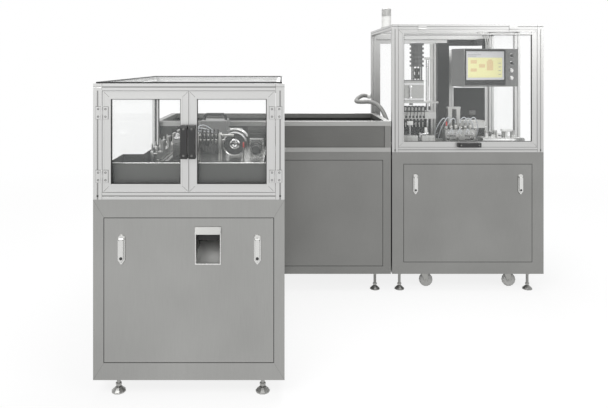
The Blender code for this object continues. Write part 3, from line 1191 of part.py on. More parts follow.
def forming_dies(bed_top, web_y):
    """A fixed rear die with its platen and twin columns, and a front die that opens along two guide rods."""
    x0, x1 = FORMING_LEFT + DIE_X, FORMING_LEFT + DIE_X + DIE_WIDTH
    shut, out = DIE_GAP, DIE_GAP + DIE_THICKNESS
    rod_x, rod_z = (x0 + DIE_ROD_INSET, x1 - DIE_ROD_INSET), bed_top + DIE_ROD_Z
    rear = box((x0, web_y + shut, bed_top), (x1, web_y + out, bed_top + DIE_HEIGHT))
    platen = box((x0, web_y + PLATEN_Y, bed_top),
                 (x1, web_y + PLATEN_Y + PLATEN_THICKNESS, bed_top + PLATEN_HEIGHT))
    ties = [rod((x, web_y + out - WELD, bed_top + z), (x, web_y + PLATEN_Y + WELD, bed_top + z), TIE_RADIUS)
            for x in (x0 + TIE_INSET, x1 - TIE_INSET) for z in TIE_HEIGHTS]
    guides = [rod((x, web_y - DIE_ROD_REACH, rod_z), (x, web_y + shut + WELD, rod_z), DIE_ROD_RADIUS)
              for x in rod_x]
    rear = fuse(rear, together(*ties), platen, together(*guides))
    twin_y = (web_y + TWIN_Y, web_y + PLATEN_Y + PLATEN_THICKNESS)
    twin_z = (bed_top + PLATEN_HEIGHT - WELD, bed_top + TWIN_HEIGHT)
    twins = [box((x, twin_y[0], twin_z[0]), (x + TWIN_WIDTH, twin_y[1], twin_z[1]))
             for x in (FORMING_LEFT + TWIN_X, FORMING_LEFT + TWIN_X + TWIN_PITCH)]
    cap = box((FORMING_LEFT + TWIN_X - TWIN_CAP_LIP, twin_y[0] + 2 * WELD, twin_z[1] - WELD),
              (FORMING_LEFT + TWIN_X + TWIN_PITCH + TWIN_WIDTH + TWIN_CAP_LIP, twin_y[1] - 2 * WELD,
               twin_z[1] + TWIN_CAP_HEIGHT))
    finish("forming_die_rear", fuse(rear, together(*twins), cap), ALUMINIUM)

    middle = (x0 + x1) / 2
    carrier = pivot("die_slide", (middle, web_y - DIE_PIVOT_Y, rod_z))
    front = box((x0, web_y - out, bed_top), (x1, web_y - shut, bed_top + DIE_HEIGHT))
    boss = rod((middle, web_y - DIE_BOSS_REACH, rod_z), (middle, web_y - out + WELD, rod_z), DIE_BOSS_RADIUS)
    bores = [rod((x, web_y - 0.2, rod_z), (x, web_y + 0.1, rod_z), DIE_ROD_RADIUS + BORE_PLAY) for x in rod_x]
    finish("forming_die_front", cut(fuse(front, boss), together(*bores)), BRIGHT_STEEL, carrier)


def filling_stand(deck, web_y):
    """Column and guide rod on a shoe behind the bed, joined at the top, with the shelf for the tank."""
    x, y, half = FORMING_LEFT + COLUMN_X, web_y + COLUMN_Y, COLUMN_SIZE / 2
    stand = extrusion(slotted(x - half, y - half, COLUMN_SIZE, COLUMN_SIZE), "Z", deck + WELD, COLUMN_TOP_Z)
    rod_x, rod_y = FORMING_LEFT + GUIDE_ROD_X, web_y + GUIDE_ROD_Y
    shoe = box((FORMING_LEFT + SHOE_X[0], web_y + SHOE_Y[0], deck),
               (FORMING_LEFT + SHOE_X[1], web_y + SHOE_Y[1], deck + SHOE_HEIGHT))
    guide_rod = rod((rod_x, rod_y, deck + SHOE_HEIGHT - WELD), (rod_x, rod_y, GUIDE_ROD_TOP_Z),
                    GUIDE_ROD_RADIUS)
    cap = box((rod_x - CLAMP_HALF, rod_y - CLAMP_HALF, GUIDE_ROD_TOP_Z - WELD),
              (x, y, GUIDE_ROD_TOP_Z + CLAMP_HEIGHT))
    shelf = box((FORMING_LEFT + SHELF_X, web_y - SHELF_FRONT, HOPPER_FLOOR_Z - SHELF_THICKNESS),
                (x, y + SHELF_BACK, HOPPER_FLOOR_Z))
    tank_x, tank_y = FORMING_LEFT + HOPPER_X, web_y + HOPPER_Y
    outlet = rod((tank_x, tank_y, HOPPER_FLOOR_Z - 0.05), (tank_x, tank_y, HOPPER_FLOOR_Z + 0.05),
                 OUTLET_RADIUS, sides=16)
    finish("filling_stand", cut(fuse(shoe, stand, guide_rod, cap, shelf), outlet), ALUMINIUM)


def hopper(web_y):
    """The tank with its spout, and the finned motor on four rods above it that turns the stirrer."""
    x, y, floor = FORMING_LEFT + HOPPER_X, web_y + HOPPER_Y, HOPPER_FLOOR_Z + SEAM
    half_x, half_y = HOPPER_SIZE / 2, HOPPER_SIZE / 2 - HOPPER_NARROWING
    tank = box((x - half_x, y - half_y, floor), (x + half_x, y + half_y, HOPPER_TOP_Z))
    space = box((x - half_x + SHEET, y - half_y + SHEET, floor + SHEET),
                (x + half_x - SHEET, y + half_y - SHEET, HOPPER_TOP_Z + 0.01))
    spout = rod((x, y, floor - SPOUT_LENGTH), (x, y, floor + SHEET - WELD), SPOUT_RADIUS, sides=16)
    throat = rod((x, y, floor - 0.04), (x, y, floor + 0.01), SPOUT_BORE, sides=12)
    finish("hopper_tank", cut(fuse(cut(tank, space), spout), throat), BRIGHT_STEEL)

    motor_x, lid_z = x + MOTOR_OFFSET, HOPPER_TOP_Z + SEAM
    root, top = MOTOR_RADIUS - MOTOR_FIN, MOTOR_BASE_Z + MOTOR_FIN_PITCH * (MOTOR_FIN_COUNT + 0.5)
    profile = [(0, top + MOTOR_CROWN), (MOTOR_RADIUS * 0.6, top + MOTOR_CROWN), (MOTOR_RADIUS, top)]
    for level in reversed(range(MOTOR_FIN_COUNT)):
        z = MOTOR_BASE_Z + MOTOR_FIN_PITCH * (level + 1)
        groove = z - MOTOR_FIN_PITCH / 2
        profile += [(MOTOR_RADIUS, z), (root, z), (root, groove), (MOTOR_RADIUS, groove)]
    profile += [(MOTOR_RADIUS, MOTOR_BASE_Z), (0, MOTOR_BASE_Z)]
    body = turned(profile, (motor_x, y, 0), sides=12)
    lid = box((x - half_x, y - half_y, lid_z), (x + half_x, y + half_y, lid_z + LID_THICKNESS))
    posts = [rod((motor_x + dx, y + dy, lid_z + LID_THICKNESS - WELD),
                 (motor_x + dx, y + dy, MOTOR_BASE_Z + WELD), MOTOR_POST_RADIUS, sides=8)
             for dx in (-MOTOR_POST_REACH, MOTOR_POST_REACH) for dy in (-MOTOR_POST_REACH, MOTOR_POST_REACH)]
    shaft_hole = rod((motor_x, y, lid_z - 0.01), (motor_x, y, lid_z + 0.02), 2 * STIRRER_RADIUS, sides=12)
    finish("stirrer_motor", fuse(cut(lid, shaft_hole), together(*posts), body), GREY_PAINT)

    carrier = pivot("stirrer_axle", (motor_x, y, lid_z))
    shaft = rod((motor_x, y, floor + STIRRER_LIFT), (motor_x, y, MOTOR_BASE_Z - SEAM), STIRRER_RADIUS)
    blade_z = floor + STIRRER_LIFT + 2 * WELD
    blade = box((motor_x - BLADE_REACH, y - BLADE_THICKNESS / 2, blade_z),
                (motor_x + BLADE_REACH, y + BLADE_THICKNESS / 2, blade_z + BLADE_HEIGHT))
    finish("stirrer", fuse(shaft, blade), BRIGHT_STEEL, carrier)


def nozzle_head(web_y):
    """The head rides on the guide rod above the strip, with a dosing pump over each nozzle."""
    rod_x, rod_y = FORMING_LEFT + GUIDE_ROD_X, web_y + GUIDE_ROD_Y
    base, top = HEAD_Z, HEAD_Z + HEAD_HEIGHT
    carrier = pivot("nozzle_slide", (rod_x, rod_y, base))
    arm = box((FORMING_LEFT + HEAD_X, web_y - HEAD_HALF, base), (rod_x + CLAMP_HALF, web_y + HEAD_HALF, top))
    collar = box((rod_x - CLAMP_HALF, web_y + HEAD_HALF - WELD, base),
                 (rod_x + CLAMP_HALF, rod_y + CLAMP_HALF, top))
    bore = rod((rod_x, rod_y, base - 0.1), (rod_x, rod_y, base + 0.1), GUIDE_ROD_RADIUS + HEAD_BORE_PLAY)
    places = [FORMING_LEFT + FIRST_NOZZLE + NOZZLE_PITCH * i for i in range(NOZZLE_COUNT)]
    nozzles = [rod((x, web_y, base + WELD), (x, web_y, base - NOZZLE_LENGTH), NOZZLE_RADIUS,
                   NOZZLE_TIP_RADIUS, sides=8)
               for x in places]
    pumps = [rod((x, web_y, top - WELD), (x, web_y, top + PUMP_HEIGHT), PUMP_RADIUS, sides=8) for x in places]
    head = cut(fuse(arm, collar), bore)
    finish("nozzle_head", fuse(head, together(*nozzles), together(*pumps)), ALUMINIUM, carrier)


def film_reel(deck):
    """The reel of film lies flat on a spindle behind the bed."""
    x, y, reel_z = FORMING_LEFT + REEL_X, LINE_FRONT + REEL_Y, deck + REEL_LIFT + SEAM
    pin, post, foot, bore = SPINDLE_RADII[0], SPINDLE_RADII[1], SPINDLE_RADII[2], SPINDLE_RADII[0] + BORE_PLAY
    profile = [(0, REEL_LIFT + SPINDLE_PIN), (pin, REEL_LIFT + SPINDLE_PIN), (pin, REEL_LIFT),
               (post, REEL_LIFT),
               (post, 0.006), (foot, 0), (0, 0)]
    finish("reel_spindle", turned(profile, (x, y, deck), sides=16), BRIGHT_STEEL)
    wound, lip = REEL_RADIUS * 0.86, REEL_FLANGE
    profile = [(bore, REEL_HEIGHT), (REEL_CORE, REEL_HEIGHT), (REEL_CORE, REEL_WOUND), (wound, REEL_WOUND),
               (wound, lip),
               (REEL_RADIUS, lip), (REEL_RADIUS, 0), (bore, 0), (bore, REEL_HEIGHT)]
    finish("film_reel", turned(profile, (x, y, reel_z), sides=24), WHITE_PLASTIC,
           pivot("reel_axle", (x, y, reel_z)))


def control_board(deck):
    """The upright wiring board behind the reel, on two stiles."""
    x0, x1 = FORMING_LEFT + BOARD_X, FORMING_LEFT + BOARD_X + BOARD_WIDTH
    y, top = LINE_FRONT + BOARD_Y, HMI_BASE_Z - BOARD_DROP
    board = box((x0, y, deck), (x1, y + BOARD_THICKNESS, top))
    stile_y = (y + BOARD_THICKNESS - WELD, y + BOARD_THICKNESS + STILE_DEPTH)
    stiles = [box((x, stile_y[0], deck), (x + STILE_WIDTH, stile_y[1], top - STILE_DROP))
              for x in (x0 + STILE_INSET, x1 - STILE_INSET - STILE_WIDTH)]
    finish("control_board", fuse(board, together(*stiles)), BLACK)


def operator_panel():
    """The operator panel hangs under an arm from the tall control column and swivels on the arm's end."""
    deck = LINE_TABLE_Z + SEAM
    centre = (FORMING_RIGHT - HMI_INSET, LINE_FRONT + HMI_Y)
    top = HMI_BASE_Z + HMI_HEIGHT
    arm_y, arm_z, half = LINE_FRONT + ARM_Y, top + ARM_RISE, ARM_SIZE / 2
    column_x = FORMING_LEFT + HMI_COLUMN_X
    column = box((column_x, arm_y - HMI_COLUMN_LIP, deck),
                 (column_x + HMI_COLUMN_SIZE[0], arm_y - HMI_COLUMN_LIP + HMI_COLUMN_SIZE[1],
                  arm_z + HMI_COLUMN_LIP * 2))
    end_x, arm_top = centre[0] + half, arm_z + ARM_SIZE
    arm = box((column_x + HMI_COLUMN_SIZE[0] - WELD, arm_y, arm_z), (end_x, arm_y + ARM_SIZE, arm_top))
    nose = box((centre[0] - half, centre[1] - half, arm_z), (end_x, arm_y + WELD, arm_top))
    neck = rod((*centre, top + SEAM), (*centre, arm_z + WELD), NECK_RADIUS, sides=16)
    finish("hmi_arm", fuse(column, arm, nose, neck), GREY_PAINT)
    operator_box(pivot("hmi_swivel", (*centre, HMI_BASE_Z), yaw=HMI_YAW))


def operator_box(carrier):
    """Box, screen, selectors and push buttons, drawn in the swivel's own frame with the face towards -Y."""
    half, face = HMI_WIDTH / 2, -HMI_DEPTH / 2
    left, right, under, over = SCREEN_MARGINS
    bezel_x = (-half + BEZEL_INSET, half - HMI_STRIP)
    control_x = half - HMI_STRIP / 2
    body = box((-half, face, 0), (half, HMI_DEPTH / 2, HMI_HEIGHT))
    bezel = box((bezel_x[0], face - BEZEL_REACH, BEZEL_MARGINS[0]),
                (bezel_x[1], face + WELD, HMI_HEIGHT - BEZEL_MARGINS[1]))
    recess = box((-half + left, face - 0.02, under),
                 (bezel_x[1] - right, face + SCREEN_SINK, HMI_HEIGHT - over))
    seats = [rod((control_x, face - 0.02, z), (control_x, face + SEAT_DEPTH, z), CONTROL_RADIUS + BORE_PLAY,
                 sides=12)
             for z in control_heights()]
    body = cut(fuse(body, bezel), recess, together(*seats))
    local(finish("hmi_box", body, GREY_PAINT), carrier)
    gap = SEAM + HAIR
    screen = box((-half + left + gap, face - SCREEN_REACH, under + gap),
                 (bezel_x[1] - right - gap, face + SCREEN_SINK - SEAM, HMI_HEIGHT - over - gap))
    local(finish("hmi_screen", screen, SCREEN_GLOW), carrier)
    for name, z in zip(("selector_upper", "selector_lower", "push_button_upper", "push_button_lower"),
                       control_heights()):
        place = (control_x, face, z)
        if name.startswith("selector"):
            knob = rod((control_x, face + SEAT_DEPTH - PRESS_GAP, z), (control_x, face - SELECTOR_COLLAR, z),
                       CONTROL_RADIUS, sides=12)
            grip = box((control_x - GRIP_HALF, face - SELECTOR_REACH, z - CONTROL_RADIUS),
                       (control_x + GRIP_HALF, face - SELECTOR_COLLAR + WELD, z + CONTROL_RADIUS))
            local(finish(name, fuse(knob, grip), BLACK), carrier, place)
        else:
            button = rod((control_x, face + SEAT_DEPTH - PRESS_GAP - PRESS_STROKE, z),
                         (control_x, face - BUTTON_REACH, z), CONTROL_RADIUS, sides=12)
            local(finish(name, button, WHITE_PLASTIC), carrier, place)


def control_heights():
    """Heights of the two selectors and the two push buttons down the right of the box."""
    return [HMI_HEIGHT - drop for drop in CONTROL_DROPS]


def local(obj, carrier, place=(0, 0, 0)):
    """Hangs a solid drawn in its carrier's own frame, with its origin at a place on it."""
    obj.data.transform(Matrix.Translation(-Vector(place)))
    obj.parent = carrier
    obj.location = place
    return obj


def beacon_and_hose():
    base = FORMING_TOP_Z + SEAM
    r, h = BEACON_RADIUS, BEACON_HEIGHT
    profile = [(0, h), (r * 0.8, h), (r, h - BEACON_LIP), (r, h * 0.62), (r * 0.92, h * 0.61), (r * 0.92, h * 0.58),
               (r, h * 0.57), (r, BEACON_LIP), (r * 1.1, BEACON_LIP), (r * 1.1, 0), (0, 0)]
    place = (FORMING_LEFT + BEACON_X, LINE_FRONT + BEACON_Y, base)
    finish("beacon", turned(profile, place, sides=20), WHITE_PLASTIC)

    # The hose leaves the rear post, loops out over the cooling module and comes down to a gland on the table
    post_x, post_y = FORMING_LEFT - SEAM, FORMING_BACK - PROFILE / 2
    route = [Vector((post_x + x, post_y + y, LINE_TABLE_Z + z)) for x, y, z in HOSE_LOOP]
    route += [Vector((GLAND_PLACE[0] + x, GLAND_PLACE[1] + y, LINE_TABLE_Z + z)) for x, y, z in HOSE_END]
    finish("hose_conduit", tube(smooth_route(route, 3), HOSE_RADIUS), GREY_PAINT)


def smooth_route(points, steps):
    """Points along a Catmull-Rom curve through the route's own points."""
    fine = []
    for i in range(len(points) - 1):
        before, here = points[max(i - 1, 0)], points[i]
        there, after = points[i + 1], points[min(i + 2, len(points) - 1)]
        for step in range(steps):
            t = step / steps
            square, cube = 2 * before - 5 * here + 4 * there - after, 3 * here - before - 3 * there + after
            fine.append(0.5 * (2 * here + (there - before) * t + square * t ** 2 + cube * t ** 3))
    return [*fine, points[-1]]


sealing_module()
cooling_module()
forming_module()
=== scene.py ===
# %% [markdown]
# # A suppository packing line
#
# Three steel cabinets stand in an L: the sealing module in front on the left, the low cooling
# module behind it, and the forming and filling module on the right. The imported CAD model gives
# every body its place. This script gives each one its finish, and builds the parts that a plain
# solid can't show: seals, screws, cylinders, tubes, the film strip, the hose and the control screen.

# %% Load the frame
import math

import bmesh
import bpy
from mathutils import Matrix, Vector


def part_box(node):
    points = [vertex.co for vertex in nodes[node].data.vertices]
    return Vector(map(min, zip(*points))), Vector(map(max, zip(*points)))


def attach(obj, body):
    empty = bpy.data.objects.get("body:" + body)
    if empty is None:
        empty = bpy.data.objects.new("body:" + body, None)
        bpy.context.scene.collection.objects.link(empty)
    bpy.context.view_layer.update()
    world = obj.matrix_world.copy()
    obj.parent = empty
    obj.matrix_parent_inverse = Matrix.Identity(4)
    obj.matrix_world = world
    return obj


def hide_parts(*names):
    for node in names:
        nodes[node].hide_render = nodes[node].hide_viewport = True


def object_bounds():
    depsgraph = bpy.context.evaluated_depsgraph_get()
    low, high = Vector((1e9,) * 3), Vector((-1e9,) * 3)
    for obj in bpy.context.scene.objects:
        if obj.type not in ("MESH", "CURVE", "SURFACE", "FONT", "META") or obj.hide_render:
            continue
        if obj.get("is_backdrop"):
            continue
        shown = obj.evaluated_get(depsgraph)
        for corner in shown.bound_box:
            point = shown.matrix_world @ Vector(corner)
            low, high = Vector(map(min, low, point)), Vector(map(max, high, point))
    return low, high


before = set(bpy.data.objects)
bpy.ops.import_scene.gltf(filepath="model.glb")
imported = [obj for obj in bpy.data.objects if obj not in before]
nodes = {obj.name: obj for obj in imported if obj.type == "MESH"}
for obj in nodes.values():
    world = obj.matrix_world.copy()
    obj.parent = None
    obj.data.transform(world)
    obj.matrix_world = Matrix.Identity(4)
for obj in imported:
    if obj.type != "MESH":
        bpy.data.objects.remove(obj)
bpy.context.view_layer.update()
BASE = "line_base"

# %% [markdown]
# Modules are placed by their own boxes, so that a piece is always set against what carries it.
# The sealing module is called `seal` here, the cooling module `cool` and the forming one `form`.

# %% The three modules' edges
seal_low, seal_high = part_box("sealing_frame")
cool_low, cool_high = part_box("cooling_frame")
form_low, form_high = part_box("forming_frame")
SEAL_FRONT, LINE_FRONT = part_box("sealing_cabinet")[0].y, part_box("forming_cabinet")[0].y
PROFILE, RAIL = 0.040, 0.032
SEAL_TABLE, LINE_TABLE = seal_low.z, form_low.z
print("tables at", round(SEAL_TABLE, 3), "and", round(LINE_TABLE, 3), "m")

# %% [markdown]
# The photograph was taken from the height of the tall module, straight on, with the machine low
# in the picture: uprights stay upright. A level camera with its lens shifted down does that.

# %% Camera
PHOTO_WIDTH, FOCAL_PIXELS = 608, 620
HORIZON_RISE, VANISHING_LEFT = 141, 21
camera_data = bpy.data.cameras.new("photo_camera")
camera_data.sensor_width = 36
camera_data.lens = 36 * FOCAL_PIXELS / PHOTO_WIDTH
camera_data.shift_x = VANISHING_LEFT / PHOTO_WIDTH
camera_data.shift_y = -HORIZON_RISE / PHOTO_WIDTH
camera = bpy.data.objects.new("photo_camera", camera_data)
camera.location = (-0.4335, -3.918, 1.504)
camera.rotation_euler = (math.pi / 2, 0, 0)
bpy.context.scene.collection.objects.link(camera)
bpy.context.scene.camera = camera
print("lens", round(camera_data.lens, 1), "mm, shift", round(camera_data.shift_y, 3))

# %% [markdown]
# One function adds a node with its settings, its socket values and its incoming links, and one
# turns the hex colours that a paint chart gives into the linear values that the shader works in.

# %% Node and colour helpers
def add_node(tree, kind, values=None, links=None, **settings):
    node = tree.nodes.new(kind)
    for key, value in settings.items():
        setattr(node, key, value)
    for key, value in (values or {}).items():
        node.inputs[key].default_value = value
    for key, source in (links or {}).items():
        tree.links.new(source, node.inputs[key])
    return node


def linear(code):
    channels = [int(code[i:i + 2], 16) / 255 for i in (0, 2, 4)]
    return (*[c / 12.92 if c <= 0.04045 else ((c + 0.055) / 1.055) ** 2.4 for c in channels], 1.0)


def start_material(name, code, roughness, metallic=0.0, **constants):
    """A Principled material; constants are socket names with underscores for spaces."""
    material = bpy.data.materials.new(name)
    material.use_nodes = True
    tree = material.node_tree
    shader = tree.nodes["Principled BSDF"]
    shader.inputs["Base Color"].default_value = linear(code)
    shader.inputs["Roughness"].default_value = roughness
    shader.inputs["Metallic"].default_value = metallic
    for socket, value in constants.items():
        shader.inputs[socket.replace("_", " ")].default_value = value
    return material, tree, shader


print("mid grey is", round(linear("808080")[0], 3), "in linear light")

# %% [markdown]
# The stage is a pale floor that keeps a soft shadow, under a white surround. The surround and the
# floor show white to the camera and in reflections, and light the machine at a plain level.

# %% Floor, surround and lamps
WHITE = (1, 1, 1, 1)


def seen_directly(tree):
    """1 for camera, mirror and see-through rays, which should meet a white studio."""
    path = add_node(tree, "ShaderNodeLightPath")
    total = path.outputs["Is Camera Ray"]
    for ray in ("Is Glossy Ray", "Is Transmission Ray"):
        both = {0: total, 1: path.outputs[ray]}
        total = add_node(tree, "ShaderNodeMath", links=both, operation="ADD", use_clamp=True).outputs[0]
    return total


world = bpy.data.worlds.new("studio")
bpy.context.scene.world = world
world.use_nodes = True
tree = world.node_tree
tree.nodes.clear()
lit, seen = [add_node(tree, "ShaderNodeBackground", {"Color": WHITE, "Strength": power})
             for power in (0.55, 1.0)]
parts = {0: seen_directly(tree), 1: lit.outputs[0], 2: seen.outputs[0]}
mixed = add_node(tree, "ShaderNodeMixShader", links=parts)
add_node(tree, "ShaderNodeOutputWorld", links={"Surface": mixed.outputs[0]})

floor_material = bpy.data.materials.new("pale_floor")
floor_material.use_nodes = True
tree = floor_material.node_tree
tree.nodes.clear()
matt = add_node(tree, "ShaderNodeBsdfDiffuse", {"Color": (0.86, 0.86, 0.86, 1)})
glow = add_node(tree, "ShaderNodeEmission", {"Color": WHITE, "Strength": 1.0})
# The floor fades into the white surround a few metres out, so that no horizon line shows
spot = add_node(tree, "ShaderNodeTexCoord")
away = add_node(tree, "ShaderNodeVectorMath", links={0: spot.outputs["Object"]}, operation="LENGTH")
fade_ends = {"From Min": 2.0, "From Max": 6.0, "To Min": 0.84, "To Max": 1.0}
fade = add_node(tree, "ShaderNodeMapRange", fade_ends, {"Value": away.outputs["Value"]})
factors = {0: seen_directly(tree), 1: fade.outputs[0]}
share = add_node(tree, "ShaderNodeMath", links=factors, operation="MULTIPLY")
parts = {0: share.outputs[0], 1: matt.outputs[0], 2: glow.outputs[0]}
both = add_node(tree, "ShaderNodeMixShader", links=parts)
add_node(tree, "ShaderNodeOutputMaterial", links={"Surface": both.outputs[0]})
floor_mesh = bpy.data.meshes.new("studio_floor")
floor_mesh.from_pydata([(-30, -30, 0), (30, -30, 0), (30, 30, 0), (-30, 30, 0)], [], [(0, 1, 2, 3)])
floor_mesh.materials.append(floor_material)
floor = bpy.data.objects.new("studio_floor", floor_mesh)
bpy.context.scene.collection.objects.link(floor)
floor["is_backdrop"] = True

for name, place, aim, size, power in (
    ("key", (-2.6, -4.6, 4.2), (-0.6, -0.6, 0.8), 3.0, 150),
    ("fill", (3.4, -4.2, 3.4), (0.6, 0.2, 0.8), 3.0, 90),
    ("top", (0.0, 0.6, 4.6), (0.0, 0.2, 0.9), 3.4, 120),
    ("back", (0.5, 4.6, 3.6), (0.0, 0.5, 0.8), 3.0, 90),
):
    lamp_data = bpy.data.lights.new(name, "AREA")
    lamp_data.shape, lamp_data.size, lamp_data.energy = "DISK", size, power
    lamp = bpy.data.objects.new(name, lamp_data)
    lamp.location = place
    lamp.rotation_euler = (Vector(aim) - Vector(place)).to_track_quat("-Z", "Y").to_euler()
    bpy.context.scene.collection.objects.link(lamp)
bpy.context.scene.view_settings.view_transform = "Standard"
print("stage set with 4 soft lamps")

# %% [markdown]
# ## Finishes
# Nearly everything that shows is metal. Brushed stainless sheet is ground with a belt, which
# leaves fine parallel lines. The lines are finer than a pixel here, so they are drawn about
# 2 mm wide and 150 mm long, and they change the colour and roughness only a little.

# %% Brushed stainless steel
BRUSH_LINES_PER_METRE, BRUSH_STRETCH = 420.0, 0.03


def shades(code, contrast):
    """A darker and a lighter shade of a hex colour."""
    return [(*[min(1.0, c * (1 + sign * contrast)) for c in linear(code)[:3]], 1.0) for sign in (-1, 1)]


def noise(tree, place, scale, detail):
    texture = add_node(tree, "ShaderNodeTexNoise", {"Scale": scale, "Detail": detail}, {"Vector": place})
    return texture.outputs["Fac"]


def mapped(tree, value, ends):
    return add_node(tree, "ShaderNodeMapRange", ends, {"Value": value}).outputs[0]


def drive(tree, shader, tints, tint_place, rough_ends, grain, bump, bump_height):
    """Drives the shader's colour between two tints, and its roughness and relief by the grain."""
    dark, light = tints
    colour = add_node(tree, "ShaderNodeMix", {6: dark, 7: light}, {0: tint_place}, data_type="RGBA")
    rough = mapped(tree, grain, {"To Min": rough_ends[0], "To Max": rough_ends[1]})
    relief = add_node(tree, "ShaderNodeBump", {"Strength": bump, "Distance": bump_height}, {"Height": grain})
    for socket, source in (("Base Color", colour.outputs[2]), ("Roughness", rough),
                           ("Normal", relief.outputs[0])):
        tree.links.new(source, shader.inputs[socket])


def brushed(name, code, roughness, along="Z", contrast=0.05, bump=0.05):
    """Metal ground along one axis: stretched noise in colour, roughness and bump."""
    material, tree, shader = start_material(name, code, roughness, 1.0)
    place = add_node(tree, "ShaderNodeTexCoord").outputs["Object"]
    scale = [BRUSH_LINES_PER_METRE] * 3
    scale["XYZ".index(along)] *= BRUSH_STRETCH
    mapping = add_node(tree, "ShaderNodeMapping", {"Scale": scale}, {"Vector": place})
    lines = noise(tree, mapping.outputs[0], 1.0, 3.0)
    clouds = noise(tree, place, 2.6, 2.0)
    tone = add_node(tree, "ShaderNodeMath", {1: 0.5}, {0: lines, 2: clouds}, operation="MULTIPLY_ADD")
    mix = mapped(tree, tone.outputs[0], {"From Min": 0.45, "From Max": 1.05})
    drive(tree, shader, shades(code, 1.6 * contrast), mix, (roughness - 0.05, roughness + 0.07), lines, bump,
          0.0004)
    return material


# One brushed steel in three tones: the sealing module's is the plain tone, and the forming and cooling
# modules take it darker as painted shade for their depth.
steel_front = brushed("brushed_stainless_front", "A2A2A0", 0.34)
steel_painted_shade = brushed("brushed_stainless_painted_shade", "8C8C8A", 0.34)
steel_deep_painted_shade = brushed("brushed_stainless_deep_painted_shade", "838381", 0.36)
steel_bright = brushed("bright_ground_steel", "A8A8A6", 0.24, "X", 0.08, 0.03)
steel_rail = brushed("brushed_stainless_rail", "A6A6A4", 0.34, "X")
print("ground sheet at", BRUSH_LINES_PER_METRE, "lines per metre")

# %% [markdown]
# Aluminium profile is extruded and anodised in a satin silver, so its faint lines run along each
# bar. Machined blocks are the same metal with a milled face. Both take a light speckled noise.

# %% Aluminium, bright rods and dark metals
def speckled(name, code, roughness, metallic, grains_per_metre, contrast=0.06, bump=0.04, **constants):
    """A fine even grain in colour, roughness and bump: anodising, powder coat or moulded texture."""
    material, tree, shader = start_material(name, code, roughness, metallic, **constants)
    grain = noise(tree, add_node(tree, "ShaderNodeTexCoord").outputs["Object"], grains_per_metre, 4.0)
    rough_ends = (max(0.03, roughness - 0.06), roughness + 0.06)
    drive(tree, shader, shades(code, contrast), grain, rough_ends, grain, bump, 0.0005)
    return material


anodised = speckled("anodised_aluminium", "CECECD", 0.36, 1.0, 350)
# The forming module's frame and guard take the same aluminium darker, as painted shade.
anodised_painted_shade = speckled("anodised_aluminium_painted_shade", "BCBCBB", 0.38, 1.0, 350)
# The darkest copy is painted shade for the inside of the profile grooves.
anodised_groove_painted_shade = speckled("anodised_aluminium_groove_painted_shade", "929291", 0.40, 1.0, 350)
milled = speckled("milled_aluminium", "B4B4B2", 0.30, 1.0, 180, 0.10, 0.08)
zinc = speckled("zinc_plated_steel", "A0A09D", 0.30, 1.0, 240, 0.10)
chrome = speckled("polished_chrome", "DADADA", 0.10, 1.0, 60, 0.03, 0.01)
satin_chrome = speckled("satin_chrome", "D8D8D6", 0.27, 1.0, 240, 0.04, 0.02)
dark_steel = speckled("blackened_steel", "4A4A49", 0.38, 0.7, 240, 0.15)
skin_sheet = brushed("satin_skin_sheet", "6E6E6C", 0.40, "X", 0.08)
liner_and_shade_sheet = brushed("satin_liner_and_painted_shade_sheet", "4C4C4B", 0.45, "X", 0.08)
tub_sheet = brushed("dark_tray_sheet", "4E4E4C", 0.42, "X", 0.10)
cast_shade = speckled("painted_castings", "606060", 0.45, 0.2, 300, 0.12, 0.10)
print("metals made")

# %% [markdown]
# Plastics, rubber and paint aren't metals: their colour is diffuse and their gloss is a thin
# clear layer. Powder coat has an orange-peel skin, nylon grips a fine spark-eroded grain.

# %% Plastics, rubber, paint and glass
nylon = speckled("black_nylon", "262626", 0.48, 0.0, 900, 0.20, 0.15)
rubber = speckled("black_rubber_seal", "1C1C1C", 0.60, 0.0, 500, 0.20)
powder = speckled("grey_powder_coat", "6C6C6B", 0.50, 0.0, 700, 0.06, 0.20)
powder_dark = speckled("dark_powder_coat", "282828", 0.58, 0.0, 700, 0.08, 0.20, Specular_IOR_Level=0.3)
abs_light = speckled("light_grey_abs", "E0E0DE", 0.40, 0.0, 500, 0.04)
abs_red = speckled("red_abs", "B5312C", 0.40, 0.0, 500, 0.08)
lens_grey = speckled("frosted_beacon_lens", "D2D2D0", 0.35, 0.0, 300, 0.06, Transmission_Weight=0.25)
tyre_grey = speckled("grey_polyurethane", "A8A8A6", 0.45, 0.0, 260, 0.06)
hose_grey = speckled("ribbed_grey_conduit", "8C8C8A", 0.55, 0.0, 500, 0.10)
film = speckled("milky_pvc_film", "ECECE8", 0.25, 0.0, 200, 0.03)
air_tube = speckled("pale_air_tube", "C9CCD0", 0.35, 0.0, 300, 0.05)

pane_material, tree, shader = start_material("clear_acrylic", "F4F8F7", 0.04, IOR=1.49)
glint = add_node(tree, "ShaderNodeLayerWeight", {"Blend": 0.25})
pane_alpha = mapped(tree, glint.outputs["Facing"], {"To Min": 0.04, "To Max": 0.20})
ripple = noise(tree, add_node(tree, "ShaderNodeTexCoord").outputs["Object"], 6.0, 2.0)
relief = add_node(tree, "ShaderNodeBump", {"Strength": 0.02, "Distance": 0.001}, {"Height": ripple})
tree.links.new(pane_alpha, shader.inputs["Alpha"])
tree.links.new(relief.outputs[0], shader.inputs["Normal"])
print(len(bpy.data.materials), "materials so far")

# %% [markdown]
# Each CAD node keeps its own solid and takes the finish of what it is made from.

